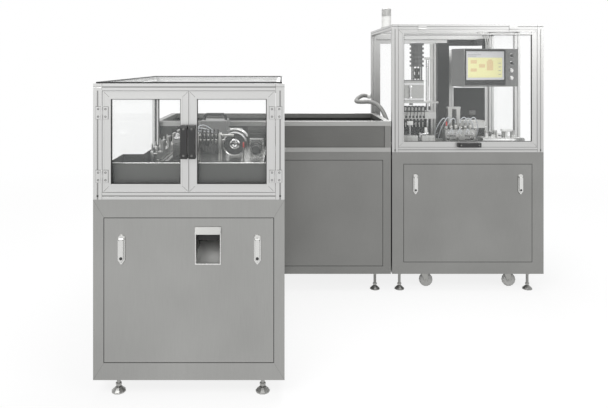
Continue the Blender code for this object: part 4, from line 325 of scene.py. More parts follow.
# %% Dress the CAD nodes
FINISHES = {
    steel_front: ("sealing_cabinet", "sealing_front_panel", "discharge_chute"),
    steel_painted_shade: ("forming_cabinet", "forming_front_panel"),
    steel_deep_painted_shade: ("cooling_cabinet", "cooling_front_panel", "cooling_frame"),
    anodised: ("sealing_frame", "door_frame_left", "door_frame_right"),
    anodised_painted_shade: ("forming_frame", "guard_frame"),
    milled: ("sealing_jaw", "filling_stand", "forming_die_rear", "nozzle_head", "forming_bed",
             "cooling_channel", "forming_die_front"),
    steel_bright: ("sealing_bed", "reel_spindle", "cutter_drum"),
    steel_rail: ("hopper_tank",),
    satin_chrome: ("sealing_latch_left", "sealing_latch_right", "forming_latch_left", "forming_latch_right"),
    chrome: ("stirrer",),
    zinc: ("caster_fork_left", "caster_fork_right"),
    tub_sheet: ("sealing_tub",),
    nylon: ("door_handle_left", "door_handle_right", "guard_handle", "selector_upper", "selector_lower"),
    tyre_grey: ("caster_wheel_left", "caster_wheel_right", "rear_wheel_left", "rear_wheel_right"),
    powder: ("hmi_box", "gearing_cover"),
    powder_dark: ("hmi_arm", "control_board"),
    cast_shade: ("stirrer_motor",),
    abs_light: ("push_button_upper", "push_button_lower", "film_reel"),
    lens_grey: ("beacon",),
    hose_grey: ("hose_conduit",),
    pane_material: [name for name in nodes if "pane" in name.split("_")],
}
for material, names in FINISHES.items():
    for name in names:
        nodes[name].data.materials.clear()
        nodes[name].data.materials.append(material)
dressed = {name for names in FINISHES.values() for name in names}
print("plain still:", sorted(set(nodes) - dressed))

# %% [markdown]
# ## Building blocks
# Small parts are drawn into one bmesh for each finish and body, and become one piece: a block
# with rounded edges, a turned shape spun about an axis, a tube along points, and a flat ring
# with mitred corners, such as a gasket or a glazing bead.

# %% Shapes drawn into a bmesh
def add_block(form, low, high, soft=0.0, place=Matrix()):
    low, high = Vector(low), Vector(high)
    size = Matrix.Diagonal((*(high - low), 1.0))
    made = bmesh.ops.create_cube(form, size=1.0, matrix=place @ Matrix.Translation((low + high) / 2) @ size)
    if soft:
        edges = list({edge for vert in made["verts"] for edge in vert.link_edges})
        bmesh.ops.bevel(form, geom=edges, offset=soft, segments=2, profile=0.5, affect="EDGES")


def add_turned(form, profile, centre, axis=(0, 0, 1), sides=20, closed=False, place=Matrix()):
    """Spins (radius, distance along the axis) pairs about an axis through a centre."""
    turn = place @ Matrix.Translation(centre) @ Vector(axis).to_track_quat("Z", "Y").to_matrix().to_4x4()
    rings = []
    for radius, along in profile:
        angles = [math.tau * i / sides for i in range(sides if radius > 1e-6 else 1)]
        rings.append([form.verts.new(turn @ Vector((radius * math.cos(a), radius * math.sin(a), along)))
                      for a in angles])
    for one, two in zip(rings, rings[1:] + (rings[:1] if closed else [])):
        for i in range(sides):
            j = (i + 1) % sides
            corners = (one[i % len(one)], one[j % len(one)], two[j % len(two)], two[i % len(two)])
            if len(set(corners)) > 2:
                form.faces.new(dict.fromkeys(corners))


def add_pin(form, start, end, radius, soft=0.0006, sides=16, place=Matrix()):
    """A turned pin between two points, with its rims broken."""
    start, end = Vector(start), Vector(end)
    length = (end - start).length
    profile = [(0, 0), (radius - soft, 0), (radius, soft), (radius, length - soft), (radius - soft, length),
               (0, length)]
    add_turned(form, profile, start, end - start, sides, place=place)


def add_tube(form, points, radius, sides=10, place=Matrix()):
    """A round tube with flat ends, its rings kept from twisting along the way."""
    points = [place @ Vector(point) for point in points]
    rings, across = [], None
    for i, point in enumerate(points):
        ahead = (points[min(i + 1, len(points) - 1)] - points[max(i - 1, 0)]).normalized()
        across = ahead.orthogonal() if across is None else across - ahead * across.dot(ahead)
        across.normalize()
        other = ahead.cross(across)
        rings.append([form.verts.new(point + radius * (across * math.cos(a) + other * math.sin(a)))
                      for a in [math.tau * k / sides for k in range(sides)]])
    for one, two in zip(rings, rings[1:]):
        for i in range(sides):
            j = (i + 1) % sides
            form.faces.new((one[i], one[j], two[j], two[i]))
    form.faces.new(rings[0][::-1])
    form.faces.new(rings[-1])


def curved(points, steps=6):
    """Points along a smooth curve through the given ones."""
    points = [Vector(point) for point in points]
    fine = []
    for i in range(len(points) - 1):
        a, b, c, d = points[max(i - 1, 0)], points[i], points[i + 1], points[min(i + 2, len(points) - 1)]
        square, cube = 2 * a - 5 * b + 4 * c - d, 3 * b - a - 3 * c + d
        for step in range(steps):
            t = step / steps
            fine.append(0.5 * (2 * b + (c - a) * t + square * t ** 2 + cube * t ** 3))
    return [*fine, points[-1]]


def add_ring(form, outer, width, low, high, facing="Y"):
    """A rectangular ring: outer is (across0, across1, up0, up1), low and high its depths."""
    a0, a1, u0, u1 = outer
    loops = []
    for i in (0.0, width):
        corners = ((a0 + i, u0 + i), (a1 - i, u0 + i), (a1 - i, u1 - i), (a0 + i, u1 - i))
        for depth in (low, high):
            spots = [(a, depth, u) if facing == "Y" else (a, u, depth) for a, u in corners]
            loops.append([form.verts.new(spot) for spot in spots])
    for one, two in ((0, 1), (1, 3), (3, 2), (2, 0)):
        for i in range(4):
            j = (i + 1) % 4
            form.faces.new((loops[one][i], loops[one][j], loops[two][j], loops[two][i]))


print("shapes: block, turned, pin, tube, ring")

# %% Turn a bmesh into a finished piece
SLOTS = {
    "brushed_steel": (steel_front, steel_painted_shade, steel_deep_painted_shade, steel_bright, steel_rail, chrome, satin_chrome,
                      zinc, dark_steel),
    "aluminium": (anodised, anodised_painted_shade, anodised_groove_painted_shade, milled),
    "black_plastic": (nylon, rubber),
    "white_plastic": (abs_light, film, lens_grey, air_tube, abs_red),
    "dark_paint": (powder, powder_dark, cast_shade), "dark_sheet": (tub_sheet, skin_sheet, liner_and_shade_sheet),
    "grey_wheel": (tyre_grey,), "grey_hose": (hose_grey,), "clear_pane": (pane_material,),
}
slot_of = {material.name: slot for slot, materials in SLOTS.items() for material in materials}


def hand_over(name, mesh, body):
    """Puts a mesh into the scene as a piece that rides a body."""
    piece = bpy.data.objects.new(name, mesh)
    bpy.context.scene.collection.objects.link(piece)
    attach(piece, body)
    print(name, len(mesh.polygons), "faces")
    return piece


def make_piece(name, form, material, body=BASE, sharp=40):
    bmesh.ops.recalc_face_normals(form, faces=form.faces)
    mesh = bpy.data.meshes.new(name)
    form.to_mesh(mesh)
    form.free()
    mesh.materials.append(material)
    mesh.shade_smooth()
    mesh.set_sharp_from_angle(angle=math.radians(sharp))
    return hand_over(name, mesh, body)


# %% [markdown]
# Socket-head screws hold nearly everything together, so one Geometry Nodes tree makes them: a
# short cylinder with a recess pushed into its top, put on every point of a mesh and turned to
# the direction kept with that point. The instances are made real, because the export needs a mesh.

# %% Screw tree
def new_tree(name, inputs):
    tree = bpy.data.node_groups.new(name, "GeometryNodeTree")
    tree.interface.new_socket("Geometry", in_out="INPUT", socket_type="NodeSocketGeometry")
    for label, kind in inputs:
        tree.interface.new_socket(label, in_out="INPUT", socket_type="NodeSocket" + kind)
    tree.interface.new_socket("Geometry", in_out="OUTPUT", socket_type="NodeSocketGeometry")
    return tree, add_node(tree, "NodeGroupInput"), add_node(tree, "NodeGroupOutput")


def grown(name, source, tree, values, body=BASE):
    """Runs a tree on a source object and keeps the result as a plain piece."""
    modifier = source.modifiers.new("Grow", "NODES")
    modifier.node_group = tree
    for item in tree.interface.items_tree:
        if item.in_out == "INPUT" and item.name in values:
            modifier[item.identifier] = values[item.name]
    graph = bpy.context.evaluated_depsgraph_get()
    mesh = bpy.data.meshes.new_from_object(source.evaluated_get(graph))
    bpy.data.objects.remove(source, do_unlink=True)
    mesh.name = name
    mesh.set_sharp_from_angle(angle=math.radians(40))
    return hand_over(name, mesh, body)


screw_inputs = (("Radius", "Float"), ("Height", "Float"), ("Finish", "Material"))
screw_tree, given, result = new_tree("screw_heads", screw_inputs)
height = given.outputs["Height"]
head = add_node(screw_tree, "GeometryNodeMeshCylinder", {"Vertices": 12},
                {"Radius": given.outputs["Radius"], "Depth": height})
rim = add_node(screw_tree, "GeometryNodeExtrudeMesh", {"Offset Scale": 0.0, "Individual": False},
               {"Mesh": head.outputs["Mesh"], "Selection": head.outputs["Top"]})
shrunk = add_node(screw_tree, "GeometryNodeScaleElements", {"Scale": 0.58},
                  {"Geometry": rim.outputs["Mesh"], "Selection": rim.outputs["Top"]})
depth = add_node(screw_tree, "ShaderNodeMath", {1: -0.7}, {0: height}, operation="MULTIPLY")
inner = {"Mesh": shrunk.outputs[0], "Selection": rim.outputs["Top"], "Offset Scale": depth.outputs[0]}
socket = add_node(screw_tree, "GeometryNodeExtrudeMesh", {"Individual": False}, inner)
facing = add_node(screw_tree, "GeometryNodeInputNamedAttribute", {"Name": "facing"}, data_type="FLOAT_VECTOR")
direction = {"Vector": facing.outputs[0]}
turn = add_node(screw_tree, "FunctionNodeAlignRotationToVector", links=direction, axis="Z")
copies = add_node(screw_tree, "GeometryNodeInstanceOnPoints", links={
    "Points": given.outputs["Geometry"], "Instance": socket.outputs["Mesh"], "Rotation": turn.outputs[0]})
real = add_node(screw_tree, "GeometryNodeRealizeInstances", links={"Geometry": copies.outputs[0]})
finished = add_node(screw_tree, "GeometryNodeSetMaterial",
                    links={"Geometry": real.outputs[0], "Material": given.outputs["Finish"]})
screw_tree.links.new(finished.outputs[0], result.inputs[0])


def screws(name, places, radius, height, material=zinc, body=BASE):
    """Screw heads at (place, facing) pairs, each standing half its height out of the surface."""
    mesh = bpy.data.meshes.new("points")
    mesh.from_pydata([place for place, _ in places], [], [])
    directions = mesh.attributes.new("facing", "FLOAT_VECTOR", "POINT")
    for item, (_, direction) in zip(directions.data, places):
        item.vector = direction
    source = bpy.data.objects.new("points", mesh)
    bpy.context.scene.collection.objects.link(source)
    return grown(name, source, screw_tree, {"Radius": radius, "Height": height, "Finish": material}, body)


FRONTWARD, UPWARD, ALONG_Y = (0, -1, 0), (0, 0, 1), (0, 1, 0)
print("screw tree has", len(screw_tree.nodes), "nodes")

# %% [markdown]
# ## Frames and doors
# Slotted profile has a groove down each side; a grey strip set in the groove paints the shade inside it.
# The door frames are mitred extrusions with a raised bead round the glass and a black seal behind
# it, which draws the dark line that the photograph shows along the glass.

# %% Slot strips, seams and top trim of the two enclosures
STRIP_HALF, STRIP_OUT, STRIP_BACK = 0.0033, 0.0005, 0.0024
strips, seams, trim = bmesh.new(), bmesh.new(), bmesh.new()


def front_strips(low, high, front):
    """Strips of painted shade in the grooves of the posts and rails, in front and at the sides."""
    foot, top, rails = low.z + 0.002, high.z - RAIL, (low.z + RAIL / 2, high.z - RAIL / 2)
    for x in (low.x + PROFILE / 2, high.x - PROFILE / 2):
        add_block(strips, (x - STRIP_HALF, front + STRIP_OUT, foot),
                  (x + STRIP_HALF, front + STRIP_BACK, top))
    for z in rails:
        add_block(strips, (low.x + PROFILE, front + STRIP_OUT, z - STRIP_HALF),
                  (high.x - PROFILE, front + STRIP_BACK, z + STRIP_HALF))
    for x, way in ((low.x, 1), (high.x, -1)):
        near, far = sorted((x + way * STRIP_OUT, x + way * STRIP_BACK))
        for y in (front + PROFILE / 2, high.y - PROFILE / 2):
            add_block(strips, (near, y - STRIP_HALF, foot), (far, y + STRIP_HALF, top))
        for z in rails:
            add_block(strips, (near, front + PROFILE, z - STRIP_HALF),
                      (far, high.y - PROFILE, z + STRIP_HALF))
    for x in (low.x + PROFILE, high.x - PROFILE):
        for z0, z1 in ((low.z, low.z + RAIL), (high.z - RAIL, high.z)):
            add_block(seams, (x - 0.0005, front - 0.0002, z0 + 0.001),
                      (x + 0.0005, front + 0.001, z1 - 0.001))


front_strips(seal_low, seal_high, SEAL_FRONT)
front_strips(form_low, form_high, LINE_FRONT)
make_piece("slot_groove_painted_shade", strips, anodised_groove_painted_shade)
make_piece("corner_seams", seams, dark_steel)
low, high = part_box("sealing_top_pane")
around = (low.x - 0.002, high.x + 0.002, low.y - 0.002, high.y + 0.002)
add_ring(trim, around, 0.012, low.z + 0.0002, high.z + 0.0016, "Z")
make_piece("top_pane_trim", trim, rubber)

# %% Door beads, seals and mitres
BAR = 0.036
MITRE_RUN = BAR * math.sqrt(2) - 0.012


def dress_frame(body, frame_node, front, insets, material=anodised):
    """A bead round the glass, a step along the outer edge, a seal behind and mitre lines."""
    low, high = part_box(frame_node)
    x0, x1, z0, z1 = low.x + insets[0], high.x - insets[1], low.z, high.z - insets[2]
    bead, seal, lines = bmesh.new(), bmesh.new(), bmesh.new()
    for form, i, width, out, back in (
        (bead, BAR - 0.009, 0.008, -0.0022, 0.001), (bead, 0.0012, 0.0035, -0.0012, 0.001),
        (seal, BAR - 0.001, 0.0035, 0.004, 0.0118),
    ):
        add_ring(form, (x0 + i, x1 - i, z0 + i, z1 - i), width, front + out, front + back)
    for x, z, way_x, way_z in ((x0, z0, 1, 1), (x1, z0, -1, 1), (x0, z1, 1, -1), (x1, z1, -1, -1)):
        place = Matrix.Translation((x, front, z)) @ Matrix.Rotation(-math.atan2(way_z, way_x), 4, "Y")
        add_block(lines, (0.002, -0.0003, -0.0005), (MITRE_RUN, 0.0005, 0.0005), place=place)
    make_piece(frame_node + "_beads", bead, material, body)
    make_piece(frame_node + "_seal", seal, rubber, body)
    make_piece(frame_node + "_mitres", lines, dark_steel, body)


# The insets leave out the hinge side of each door and the hinge rod over the guard
dress_frame("door_left", "door_frame_left", SEAL_FRONT, (0.0093, 0, 0))
dress_frame("door_right", "door_frame_right", SEAL_FRONT, (0, 0.0093, 0))
dress_frame("guard", "guard_frame", LINE_FRONT, (0, 0, 0.0052), anodised_painted_shade)

# %% Screws of hinges and handles, and painted shadow round the hinge leaves
LEAF_FRONT, LEAF_SCREW, LEAF_HALF, HANDLE_SCREW = 0.0032, 0.0165, 0.0285, 0.016
hinge_middles = [SEAL_TABLE + height for height in (0.105, 0.390)]
hinge_z = [middle + offset for middle in hinge_middles for offset in (-0.017, 0.017)]


def front_screws(name, places, radius, height, material=zinc, body=BASE):
    screws(name, [(place, FRONTWARD) for place in places], radius, height, material, body)


for side, axis_x, way in (("left", seal_low.x + PROFILE, 1), ("right", seal_high.x - PROFILE, -1)):
    halves = (("frame", BASE, -way), ("door", "door_" + side, way))
    for holder, body, turn in halves:
        places = [(axis_x + turn * LEAF_SCREW, SEAL_FRONT - LEAF_FRONT, z) for z in hinge_z]
        front_screws(f"{holder}_hinge_screws_{side}", places, 0.0046, 0.0018, dark_steel, body)
    # A thin black ring round each hinge leaf paints the shadow that the raised leaf casts.
    for holder, body, turn in halves:
        near, far = sorted((axis_x + turn * 0.0052, axis_x + turn * 0.0290))
        outline = bmesh.new()
        for z in hinge_middles:
            add_ring(outline, (near, far, z - LEAF_HALF, z + LEAF_HALF), 0.0010, SEAL_FRONT - 0.0012,
                     SEAL_FRONT - 0.0002)
        make_piece(f"{holder}_hinge_painted_shadow_{side}", outline, rubber, body)
    low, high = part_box("door_handle_" + side)
    places = [((low.x + high.x) / 2, low.y - 0.0002, z)
              for z in (low.z + HANDLE_SCREW, high.z - HANDLE_SCREW)]
    front_screws("door_handle_screws_" + side, places, 0.0042, 0.0014, zinc, "door_" + side)
low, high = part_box("guard_handle")
places = [(x, low.y - 0.0002, (low.z + high.z) / 2) for x in (low.x + HANDLE_SCREW, high.x - HANDLE_SCREW)]
front_screws("guard_handle_screws", places, 0.0042, 0.0014, zinc, "guard")
post_feet = [(x, SEAL_FRONT - 0.0003, SEAL_TABLE + 0.016) for x in (seal_low.x + 0.02, seal_high.x - 0.02)]
post_feet += [(x, LINE_FRONT - 0.0003, LINE_TABLE + 0.014) for x in (form_low.x + 0.02, form_high.x - 0.02)]
front_screws("post_screws", post_feet, 0.0048, 0.0014, dark_steel)

# %% [markdown]
# ## Sealing module
# Two lift-off latches hold the front panel. Each is a chromed die casting: a plate, rounded at
# the top and pointed at the bottom, round a lever that carries a key cylinder. The CAD has plate
# and lever, so the rim of the plate and the cylinder are added.

# %% Latch rims and key cylinders
PLATE_SIZE, LEVER_HOLE, PLATE_MIDDLE = (0.0335, 0.134), (0.0226, 0.110), 0.052
LOCK_UP, LOCK_RADIUS = 0.014, 0.0072


def latch_outline(x, z, width, length, steps=14):
    """Round at the top, pointed at the bottom."""
    half = width / 2
    crown, point = z + length / 2 - half, z - length / 2
    shoulder, tip = point + half * 1.15, half * 0.12
    angles = [math.pi * i / steps for i in range(steps + 1)]
    arc = [(x + half * math.cos(a), crown + half * math.sin(a)) for a in angles]
    return [*arc, (x - half, shoulder), (x - tip, point), (x + tip, point), (x + half, shoulder)]


def latch_details(latch, panel):
    low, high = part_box(latch)
    x, middle, plate = (low.x + high.x) / 2, high.z - PLATE_MIDDLE, high.y + 0.0003
    outer = latch_outline(x, middle, *PLATE_SIZE)
    inner = latch_outline(x, middle - 0.001, *LEVER_HOLE)
    drawn_in = [(x + (a - x) * 0.92, middle + (u - middle) * 0.975) for a, u in outer]
    back, edge, front = plate + 0.005, plate - 0.0002, plate - 0.0026
    rim = bmesh.new()
    loops = [[rim.verts.new((a, depth, u)) for a, u in line] for line, depth in (
        (outer, back), (outer, edge), (drawn_in, front), (inner, front), (inner, back))]
    for one, two in zip(loops, loops[1:] + loops[:1]):
        for i in range(len(one)):
            j = (i + 1) % len(one)
            rim.faces.new((one[i], one[j], two[j], two[i]))
    make_piece(latch + "_rim", rim, satin_chrome, panel)
    barrel, keyway = bmesh.new(), bmesh.new()
    lock = Matrix.Translation((x, low.y, low.z + LOCK_UP))
    add_pin(barrel, (0, 0.001, 0), (0, -0.0016, 0), LOCK_RADIUS, place=lock)
    add_block(keyway, (-0.0052, -0.0019, -0.0052), (0.0052, -0.0012, 0.0052), 0.0003, lock)
    make_piece(latch + "_cylinder", barrel, dark_steel, latch)
    make_piece(latch + "_keyway", keyway, nylon, latch)


for module in ("sealing", "forming"):
    for side in ("left", "right"):
        latch_details(f"{module}_latch_{side}", module + "_panel")

# %% [markdown]
# The sheet-metal frames of the cabinets are folded and welded at the corners, ground flat, and
# the ground corner shows as a faint mitre line. The panels have a shadow gap round them.

# %% Weld lines and shadow gaps
PANEL_GAP = 0.0034
MODULES = (
    ("sealing", SEAL_FRONT, seal_low.x, seal_high.x, 0.080, SEAL_TABLE),
    ("forming", LINE_FRONT, form_low.x, form_high.x, 0.080, LINE_TABLE),
    ("cooling", LINE_FRONT, cool_low.x, cool_high.x, 0.054, LINE_TABLE),
)
welds, gaps = bmesh.new(), bmesh.new()
for module, front, x0, x1, below_panel, table in MODULES:
    low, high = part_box(module + "_front_panel")
    for z, to_z in ((low.z - below_panel, low.z), (table - 0.0005, high.z)):
        for x, to_x in ((x0, low.x), (x1, high.x)):
            along = Vector((to_x - x, 0, to_z - z))
            turn = Matrix.Rotation(-math.atan2(along.z, along.x), 4, "Y")
            place = Matrix.Translation((x, front, z)) @ turn
            add_block(welds, (0.002, -0.0003, -0.0007), (along.length - 0.006, 0.0006, 0.0007), place=place)
    # The black ring behind each panel's edge is painted shade in the gap round it.
    around = (low.x - PANEL_GAP, high.x + PANEL_GAP, low.z - PANEL_GAP, high.z + PANEL_GAP)
    add_ring(gaps, around, PANEL_GAP, front + 0.0075, front + 0.0095)
make_piece("frame_weld_lines", welds, steel_painted_shade)
make_piece("panel_shadow_gaps", gaps, rubber)

# %% [markdown]
# Packs leave through the chute. It has side edges of bare sheet and a turned lip at the bottom,
# and a rubber curtain hangs in its mouth.

# %% Chute edges and curtain
low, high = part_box("discharge_chute")
edges, curtain = bmesh.new(), bmesh.new()
for x in (low.x, high.x - 0.0044):
    add_block(edges, (x, SEAL_FRONT - 0.0055, low.z + 0.001),
              (x + 0.0044, SEAL_FRONT - 0.0035, high.z - 0.030), 0.0006)
add_block(edges, (low.x, SEAL_FRONT - 0.0066, low.z), (high.x, SEAL_FRONT - 0.0036, low.z + 0.006), 0.0012)
make_piece("chute_edges", edges, satin_chrome, "sealing_panel")
add_block(curtain, (low.x + 0.006, SEAL_FRONT + 0.010, high.z - 0.062),
          (high.x - 0.006, SEAL_FRONT + 0.013, high.z - 0.004), 0.0005)
make_piece("chute_curtain", curtain, rubber, "sealing_panel")

# %% [markdown]
# Through the glass stands the sealing bed. Four air cylinders close the heated blocks on the
# strip, and each has end caps, two push-in fittings and a tube to the valve bank. A station's
# parts are given from its own corner: the rail across, the station's middle along, the bed's top up.

# %% Cylinders, blocks and valve bank
BED_TOP, RAIL_X = 0.975, seal_low.x + 0.245
STATION_Y = [SEAL_FRONT + 0.480 + 0.160 * i for i in range(4)]
BLOCK_X, VALVE_ROW_Y, VALVE_PITCH = 0.052, SEAL_FRONT + 0.834, 0.020
AIR_TUBE, HEATER_CABLE = 0.0024, 0.0021
caps, clamps, dark, tubes, heaters = (bmesh.new() for _ in range(5))
block_screws = []


def dress_station(i, y):
    here = Matrix.Translation((RAIL_X, y, BED_TOP))
    for x0, x1 in ((0.070, 0.078), (0.104, 0.114)):
        add_block(caps, (x0, -0.0235, 0.0565), (x1, 0.0235, 0.1035), 0.002, here)
    add_block(clamps, (0.036, -0.034, 0.1302), (0.068, 0.034, 0.140), 0.001, here)
    for along, top, radius in ((-0.018, 0.163, 0.006), (0.018, 0.156, 0.004)):
        add_pin(clamps, (BLOCK_X, along, 0.139), (BLOCK_X, along, top), radius, place=here)
    add_block(dark, (0.034, -0.031, 0.020), (0.071, 0.031, 0.028), 0.001, here)
    for x in (0.082, 0.098):
        add_pin(dark, (x, 0, 0.100), (x, 0, 0.116), 0.0045, sides=10, place=here)
    valve = VALVE_ROW_Y + VALVE_PITCH * i - y
    over = [(0.098, 0, 0.114), (0.105, 0, 0.150), (0.150, 0.02, 0.168), (0.205, valve, 0.120),
            (0.208, valve, 0.080)]
    add_tube(tubes, curved(over), AIR_TUBE, 8, here)
    down = [(BLOCK_X, -0.018, 0.160), (0.040, -0.024, 0.178), (0.020, 0.010, 0.176), (0.064, 0.085, 0.130),
            (0.090, 0.080, 0.004)]
    add_tube(heaters, curved(down), HEATER_CABLE, 8, here)
    block_screws.extend((here @ Vector((0.044, along, 0.1402)), UPWARD) for along in (-0.028, 0.028))
    block_screws.extend((here @ Vector((BLOCK_X, -0.0302, up)), FRONTWARD) for up in (0.050, 0.110))


for i, y in enumerate(STATION_Y):
    dress_station(i, y)
bank = Matrix.Translation((RAIL_X, VALVE_ROW_Y, BED_TOP))
add_block(dark, (0.195, -0.015, 0.0003), (0.222, 0.075, 0.060), 0.002, bank)
for i in range(4):
    start = VALVE_PITCH * i - 0.010
    add_block(caps, (0.197, start, 0.060), (0.220, start + 0.016, 0.082), 0.002, bank)
make_piece("cylinder_end_caps", caps, milled)
make_piece("block_clamps", clamps, chrome)
make_piece("valve_bank", dark, dark_steel)
make_piece("air_tubes", tubes, air_tube)
make_piece("heater_cables", heaters, rubber)
screws("block_screws", block_screws, 0.0032, 0.0020, dark_steel)

# %% Jaw pads and strip guides
jaw_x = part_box("sealing_jaw")[0].x
pads, guides = bmesh.new(), bmesh.new()
for y in STATION_Y:
    here = Matrix.Translation((jaw_x, y, BED_TOP))
    add_block(pads, (-0.004, -0.016, 0.038), (0.002, 0.016, 0.060), 0.001, here)
    add_pin(pads, (-0.010, 0, 0.050), (0, 0, 0.050), 0.008, place=here)
make_piece("jaw_rollers", pads, zinc, "sealing_jaw")
for i in range(6):
    y = STATION_Y[0] - 0.045 + 0.105 * i
    if min(abs(y - STATION_Y[0]), abs(y - STATION_Y[3])) > 0.03:
        here = Matrix.Translation((RAIL_X - 0.066, y, BED_TOP))
        add_block(guides, (-0.014, -0.012, 0.0002), (0.010, 0.012, 0.012), 0.001, here)
        add_block(guides, (-0.012, -0.010, 0.011), (0.002, 0.010, 0.072 + 0.012 * (i % 2)), 0.002, here)
        add_pin(guides, (-0.005, 0, 0.070), (-0.005, 0, 0.110), 0.0042, place=here)
make_piece("strip_guides", guides, milled)

# %% [markdown]
# Two rods over the bed carry five grippers, which pull the strip on from one station to the next.
# They are given from the middle of the upper rod's left end.

# %% Feed beam and strip grippers
BEAM_UP, BEAM_LENGTH, GRIPPER_PITCH = 0.137, 0.205, 0.021
BEAM_START = Vector((RAIL_X + 0.1365, SEAL_FRONT + 0.574, BED_TOP + BEAM_UP))
beam, grippers = bmesh.new(), bmesh.new()
here = Matrix.Translation(BEAM_START)
add_pin(beam, (0, 0, 0), (BEAM_LENGTH, 0, 0), 0.0065, place=here)
add_pin(beam, (0, 0.03, -0.03), (BEAM_LENGTH - 0.05, 0.03, -0.03), 0.005, place=here)
for x in (0.010, BEAM_LENGTH - 0.075):
    add_block(beam, (x - 0.007, -0.012, 0.0002 - BEAM_UP), (x + 0.007, 0.040, 0.012), 0.002, here)
make_piece("feed_beam", beam, zinc)
for i in range(5):
    here = Matrix.Translation(BEAM_START + Vector((0.036 + GRIPPER_PITCH * i, 0, 0)))
    drop = 0.008 * (i % 2)
    add_block(grippers, (-0.008, -0.011, -0.014), (0.008, 0.011, 0.013), 0.002, here)
    add_pin(grippers, (0, 0, 0.012), (0, 0, 0.034), 0.0055, place=here)
    add_pin(grippers, (0, 0, -0.050 - drop), (0, 0, -0.013), 0.0050, place=here)
    add_block(grippers, (-0.0065, -0.006, -0.078 - drop), (0.0065, 0.006, -0.049 - drop), 0.0015, here)
make_piece("strip_grippers", grippers, dark_steel)

# %% [markdown]
# The cutting station stands on the right. Its drum has a dark face inside a bright rim, a hood
# over it, and a finned motor beside it. Two gears in front of the grey cover pull the strip on.

# %% Arc and gear shapes
def add_arc(form, centre, radii, depths, start, end, steps=14):
    """A strip bent about an axis along Y, between two radii, two depths and two angles in degrees."""
    loops = []
    corners = [(radii[0], depths[0]), (radii[1], depths[0]), (radii[1], depths[1]), (radii[0], depths[1])]
    for i in range(steps + 1):
        angle = math.radians(start + (end - start) * i / steps)
        loops.append([form.verts.new((centre[0] + r * math.cos(angle), y, centre[1] + r * math.sin(angle)))
                      for r, y in corners])
    for one, two in zip(loops, loops[1:]):
        for i in range(4):
            form.faces.new((one[i], one[(i + 1) % 4], two[(i + 1) % 4], two[i]))
    form.faces.new(loops[0])
    form.faces.new(loops[-1][::-1])


def add_gear(form, centre, radius, teeth, depths):
    """A spur gear: each tooth has a root, a flank and a tip of its own."""
    outline = []
    for i in range(teeth):
        for turn, size in ((0.0, 0.90), (0.30, 0.90), (0.42, 1.0), (0.70, 1.0), (0.88, 0.90)):
            angle = math.tau * (i + turn) / teeth
            outline.append((centre[0] + radius * size * math.cos(angle),
                            centre[1] + radius * size * math.sin(angle)))
    sides = [[form.verts.new((x, y, z)) for x, z in outline] for y in depths]
    for i in range(len(outline)):
        j = (i + 1) % len(outline)
        form.faces.new((sides[0][i], sides[0][j], sides[1][j], sides[1][i]))
    form.faces.new(sides[0][::-1])
    form.faces.new(sides[1])


print("shapes: arc, gear")

# %% Cutting drum
DRUM_X, DRUM_Z, DRUM_FACE = RAIL_X + 0.343, BED_TOP + 0.085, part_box("cutter_drum")[0].y
DRUM = Matrix.Translation((DRUM_X, DRUM_FACE, DRUM_Z))
SPOKES, FACE_SCREWS, SCREW_CIRCLE = 8, 6, 0.0185
face, rings, hood = bmesh.new(), bmesh.new(), bmesh.new()
add_turned(face, [(0.0290, 0.0004), (0.0575, 0.0004), (0.0575, -0.0012), (0.0290, -0.0012)],
           (0, 0, 0), ALONG_Y, 32, True, DRUM)
for i in range(SPOKES):
    spin = DRUM @ Matrix.Rotation(math.tau * i / SPOKES, 4, "Y")
    add_block(face, (-0.0035, -0.0040, 0.0300), (0.0035, -0.0010, 0.0570), 0.001, spin)
make_piece("drum_face", face, nylon, "cutter_drum")
hub = [(0.0090, -0.0002), (0.0270, -0.0002), (0.0270, -0.0032), (0.0240, -0.0050), (0.0110, -0.0050),
       (0.0090, -0.0035)]
add_turned(rings, hub, (0, 0, 0), ALONG_Y, 32, True, DRUM)
rim = [(0.0600, 0.0005), (0.0665, 0.0005), (0.0672, -0.0010), (0.0600, -0.0022)]
add_turned(rings, rim, (0, 0, 0), ALONG_Y, 48, True, DRUM)
make_piece("drum_hub_and_rim", rings, chrome, "cutter_drum")
turns = [math.tau * i / FACE_SCREWS for i in range(FACE_SCREWS)]
circle = [Vector((SCREW_CIRCLE * math.cos(a), -0.0055, SCREW_CIRCLE * math.sin(a))) for a in turns]
front_screws("drum_screws", [DRUM @ spot for spot in circle], 0.0028, 0.0020, dark_steel, "cutter_drum")
add_arc(hood, (DRUM_X, DRUM_Z), (0.0760, 0.0785), (DRUM_FACE + 0.004, DRUM_FACE + 0.094), 28, 152)
add_block(hood, (-0.036, 0.0925, 0.030), (0.036, 0.0955, 0.0775), 0.0005, DRUM)
make_piece("drum_hood", hood, steel_bright)

# %% Drive motor
MOTOR_X, MOTOR_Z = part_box("sealing_bed")[1].x - 0.045, BED_TOP + 0.060
MOTOR = Matrix.Translation((MOTOR_X, SEAL_FRONT, MOTOR_Z))
FINS, FIN_PITCH, FIRST_FIN = 7, 0.010, 0.588
fins, plate_edge = bmesh.new(), bmesh.new()
for i in range(FINS):
    add_turned(fins, [(0.0255, 0.0), (0.0300, 0.0004), (0.0300, 0.0036), (0.0255, 0.0040)],
               (0, FIRST_FIN + FIN_PITCH * i, 0), ALONG_Y, 24, True, MOTOR)
add_pin(fins, (0, 0.5805, 0), (0, 0.572, 0), 0.0235, 0.003, place=MOTOR)
make_piece("drive_motor_fins", fins, dark_steel)
rims = (((-0.037, 0.040, -0.059, 0.050), 0.006, 0.6585, 0.6602),
        ((-0.036, 0.036, -0.056, 0.046), 0.004, 0.6570, 0.6588))
for (x0, x1, z0, z1), width, front, back in rims:
    outer = (MOTOR_X + x0, MOTOR_X + x1, MOTOR_Z + z0, MOTOR_Z + z1)
    add_ring(plate_edge, outer, width, SEAL_FRONT + front, SEAL_FRONT + back)
make_piece("drive_plate_edge", plate_edge, satin_chrome)

